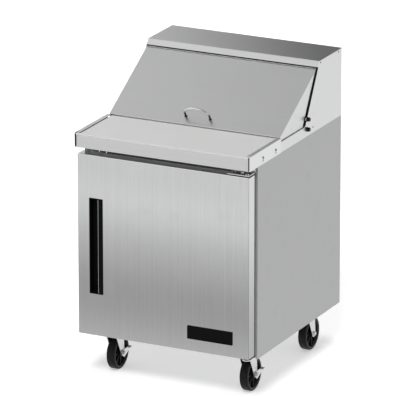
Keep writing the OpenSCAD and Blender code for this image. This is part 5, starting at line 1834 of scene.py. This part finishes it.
world = bpy.data.worlds.new("studio")
bpy.context.scene.world = world
world.use_nodes = True
sky_tree = world.node_tree
direction = Wire(sky_tree, sky_tree.nodes.new("ShaderNodeTexCoord").outputs["Generated"])
sky_tone = 1 - axis_of(direction, 2).step(*SKY_FADE) * (1 - SKY_TOP)
sky_seen = light_path(direction, "Camera", "Glossy", "Transmission")
sky_level = sky_tone * (SKY_SCATTERED + sky_seen * (1 - SKY_SCATTERED))
sky_tree.links.new(sky_level.socket, sky_tree.nodes["Background"].inputs["Color"])
print("sky falls to", SKY_TOP, "overhead")

# %% Cards
CARD_LEFT = -2.0
CARD_RIGHT = 2.0
REAR_Y = 1.2
REAR_HEIGHT = (1.16, 2.6)
# Each tone: share of the way from left to right, and how bright a card is there.
REAR_TONES = [(0.0, 0.75), (0.3, 0.57), (0.475, 0.14), (1.0, 0.1)]
FRONT_ENDS = ((3.6, -3.4), (0.2, -5.0))
FRONT_HEIGHT = (1.2, 4.4)
FRONT_TONES = [(0.0, 0.05), (1.0, 0.05)]
ROOF_Y = (-1.5, 2.5)
ROOF_Z = 3.0
ROOF_TONES = [(0.0, 0.7), (0.18, 0.675), (0.35, 0.57), (1.0, 0.52)]


def card_finish(name, tones):
    """Light that only one side of a card gives, with its tones from left to right."""
    material, shader, place = blank_finish(name)
    tree = material.node_tree
    tone = ((axis_of(place, 0) - CARD_LEFT) / (CARD_RIGHT - CARD_LEFT)).ramp(*tones)
    glow = tone.node("ShaderNodeEmission", {}, {"Color": tone})
    back = tone.node("ShaderNodeNewGeometry", {}, {}, output="Backfacing")
    clear = tone.node("ShaderNodeBsdfTransparent", {}, {})
    one_sided = tone.node("ShaderNodeMixShader", {}, {0: back, 1: glow, 2: clear})
    tree.links.new(one_sided.socket, tree.nodes["Material Output"].inputs["Surface"])
    tree.nodes.remove(shader)
    return material


def hang_card(name, corners, tones):
    """A card that only gloss sees."""
    card = sheet_at(name, corners, card_finish(name, tones))
    card.visible_camera = False
    card.visible_diffuse = False
    card.visible_shadow = False
    card.visible_transmission = False


def standing(left, right, low, high):
    """The corners of an upright card between two points of the floor plan."""
    return [(*left, low), (*right, low), (*right, high), (*left, high)]


rear_ends = ((CARD_LEFT, REAR_Y), (CARD_RIGHT, REAR_Y))
hang_card("rear_card", standing(*rear_ends, *REAR_HEIGHT), REAR_TONES)
hang_card("front_card", standing(*FRONT_ENDS, *FRONT_HEIGHT), FRONT_TONES)
near, far = ROOF_Y
roof = [(CARD_RIGHT, near), (CARD_LEFT, near), (CARD_LEFT, far), (CARD_RIGHT, far)]
hang_card("roof_card", [(*corner, ROOF_Z) for corner in roof], ROOF_TONES)
print("cards hang behind, in front and overhead")

# %% Lamps
# Strength, spread and turn in degrees of each lamp.
LAMPS = {"front_key": (1.66, 16, (41, 0, 14)), "overhead": (1.0, 5, (3.2, 0, 45))}
for name, (strength, spread, turn) in LAMPS.items():
    lamp = new_object(name, bpy.data.lights.new(name, "SUN"))
    lamp.data.energy = strength
    lamp.data.angle = math.radians(spread)
    lamp.rotation_euler = [math.radians(angle) for angle in turn]
    lamp.visible_glossy = False
print("lamps:", ", ".join(LAMPS))

# %% [markdown]
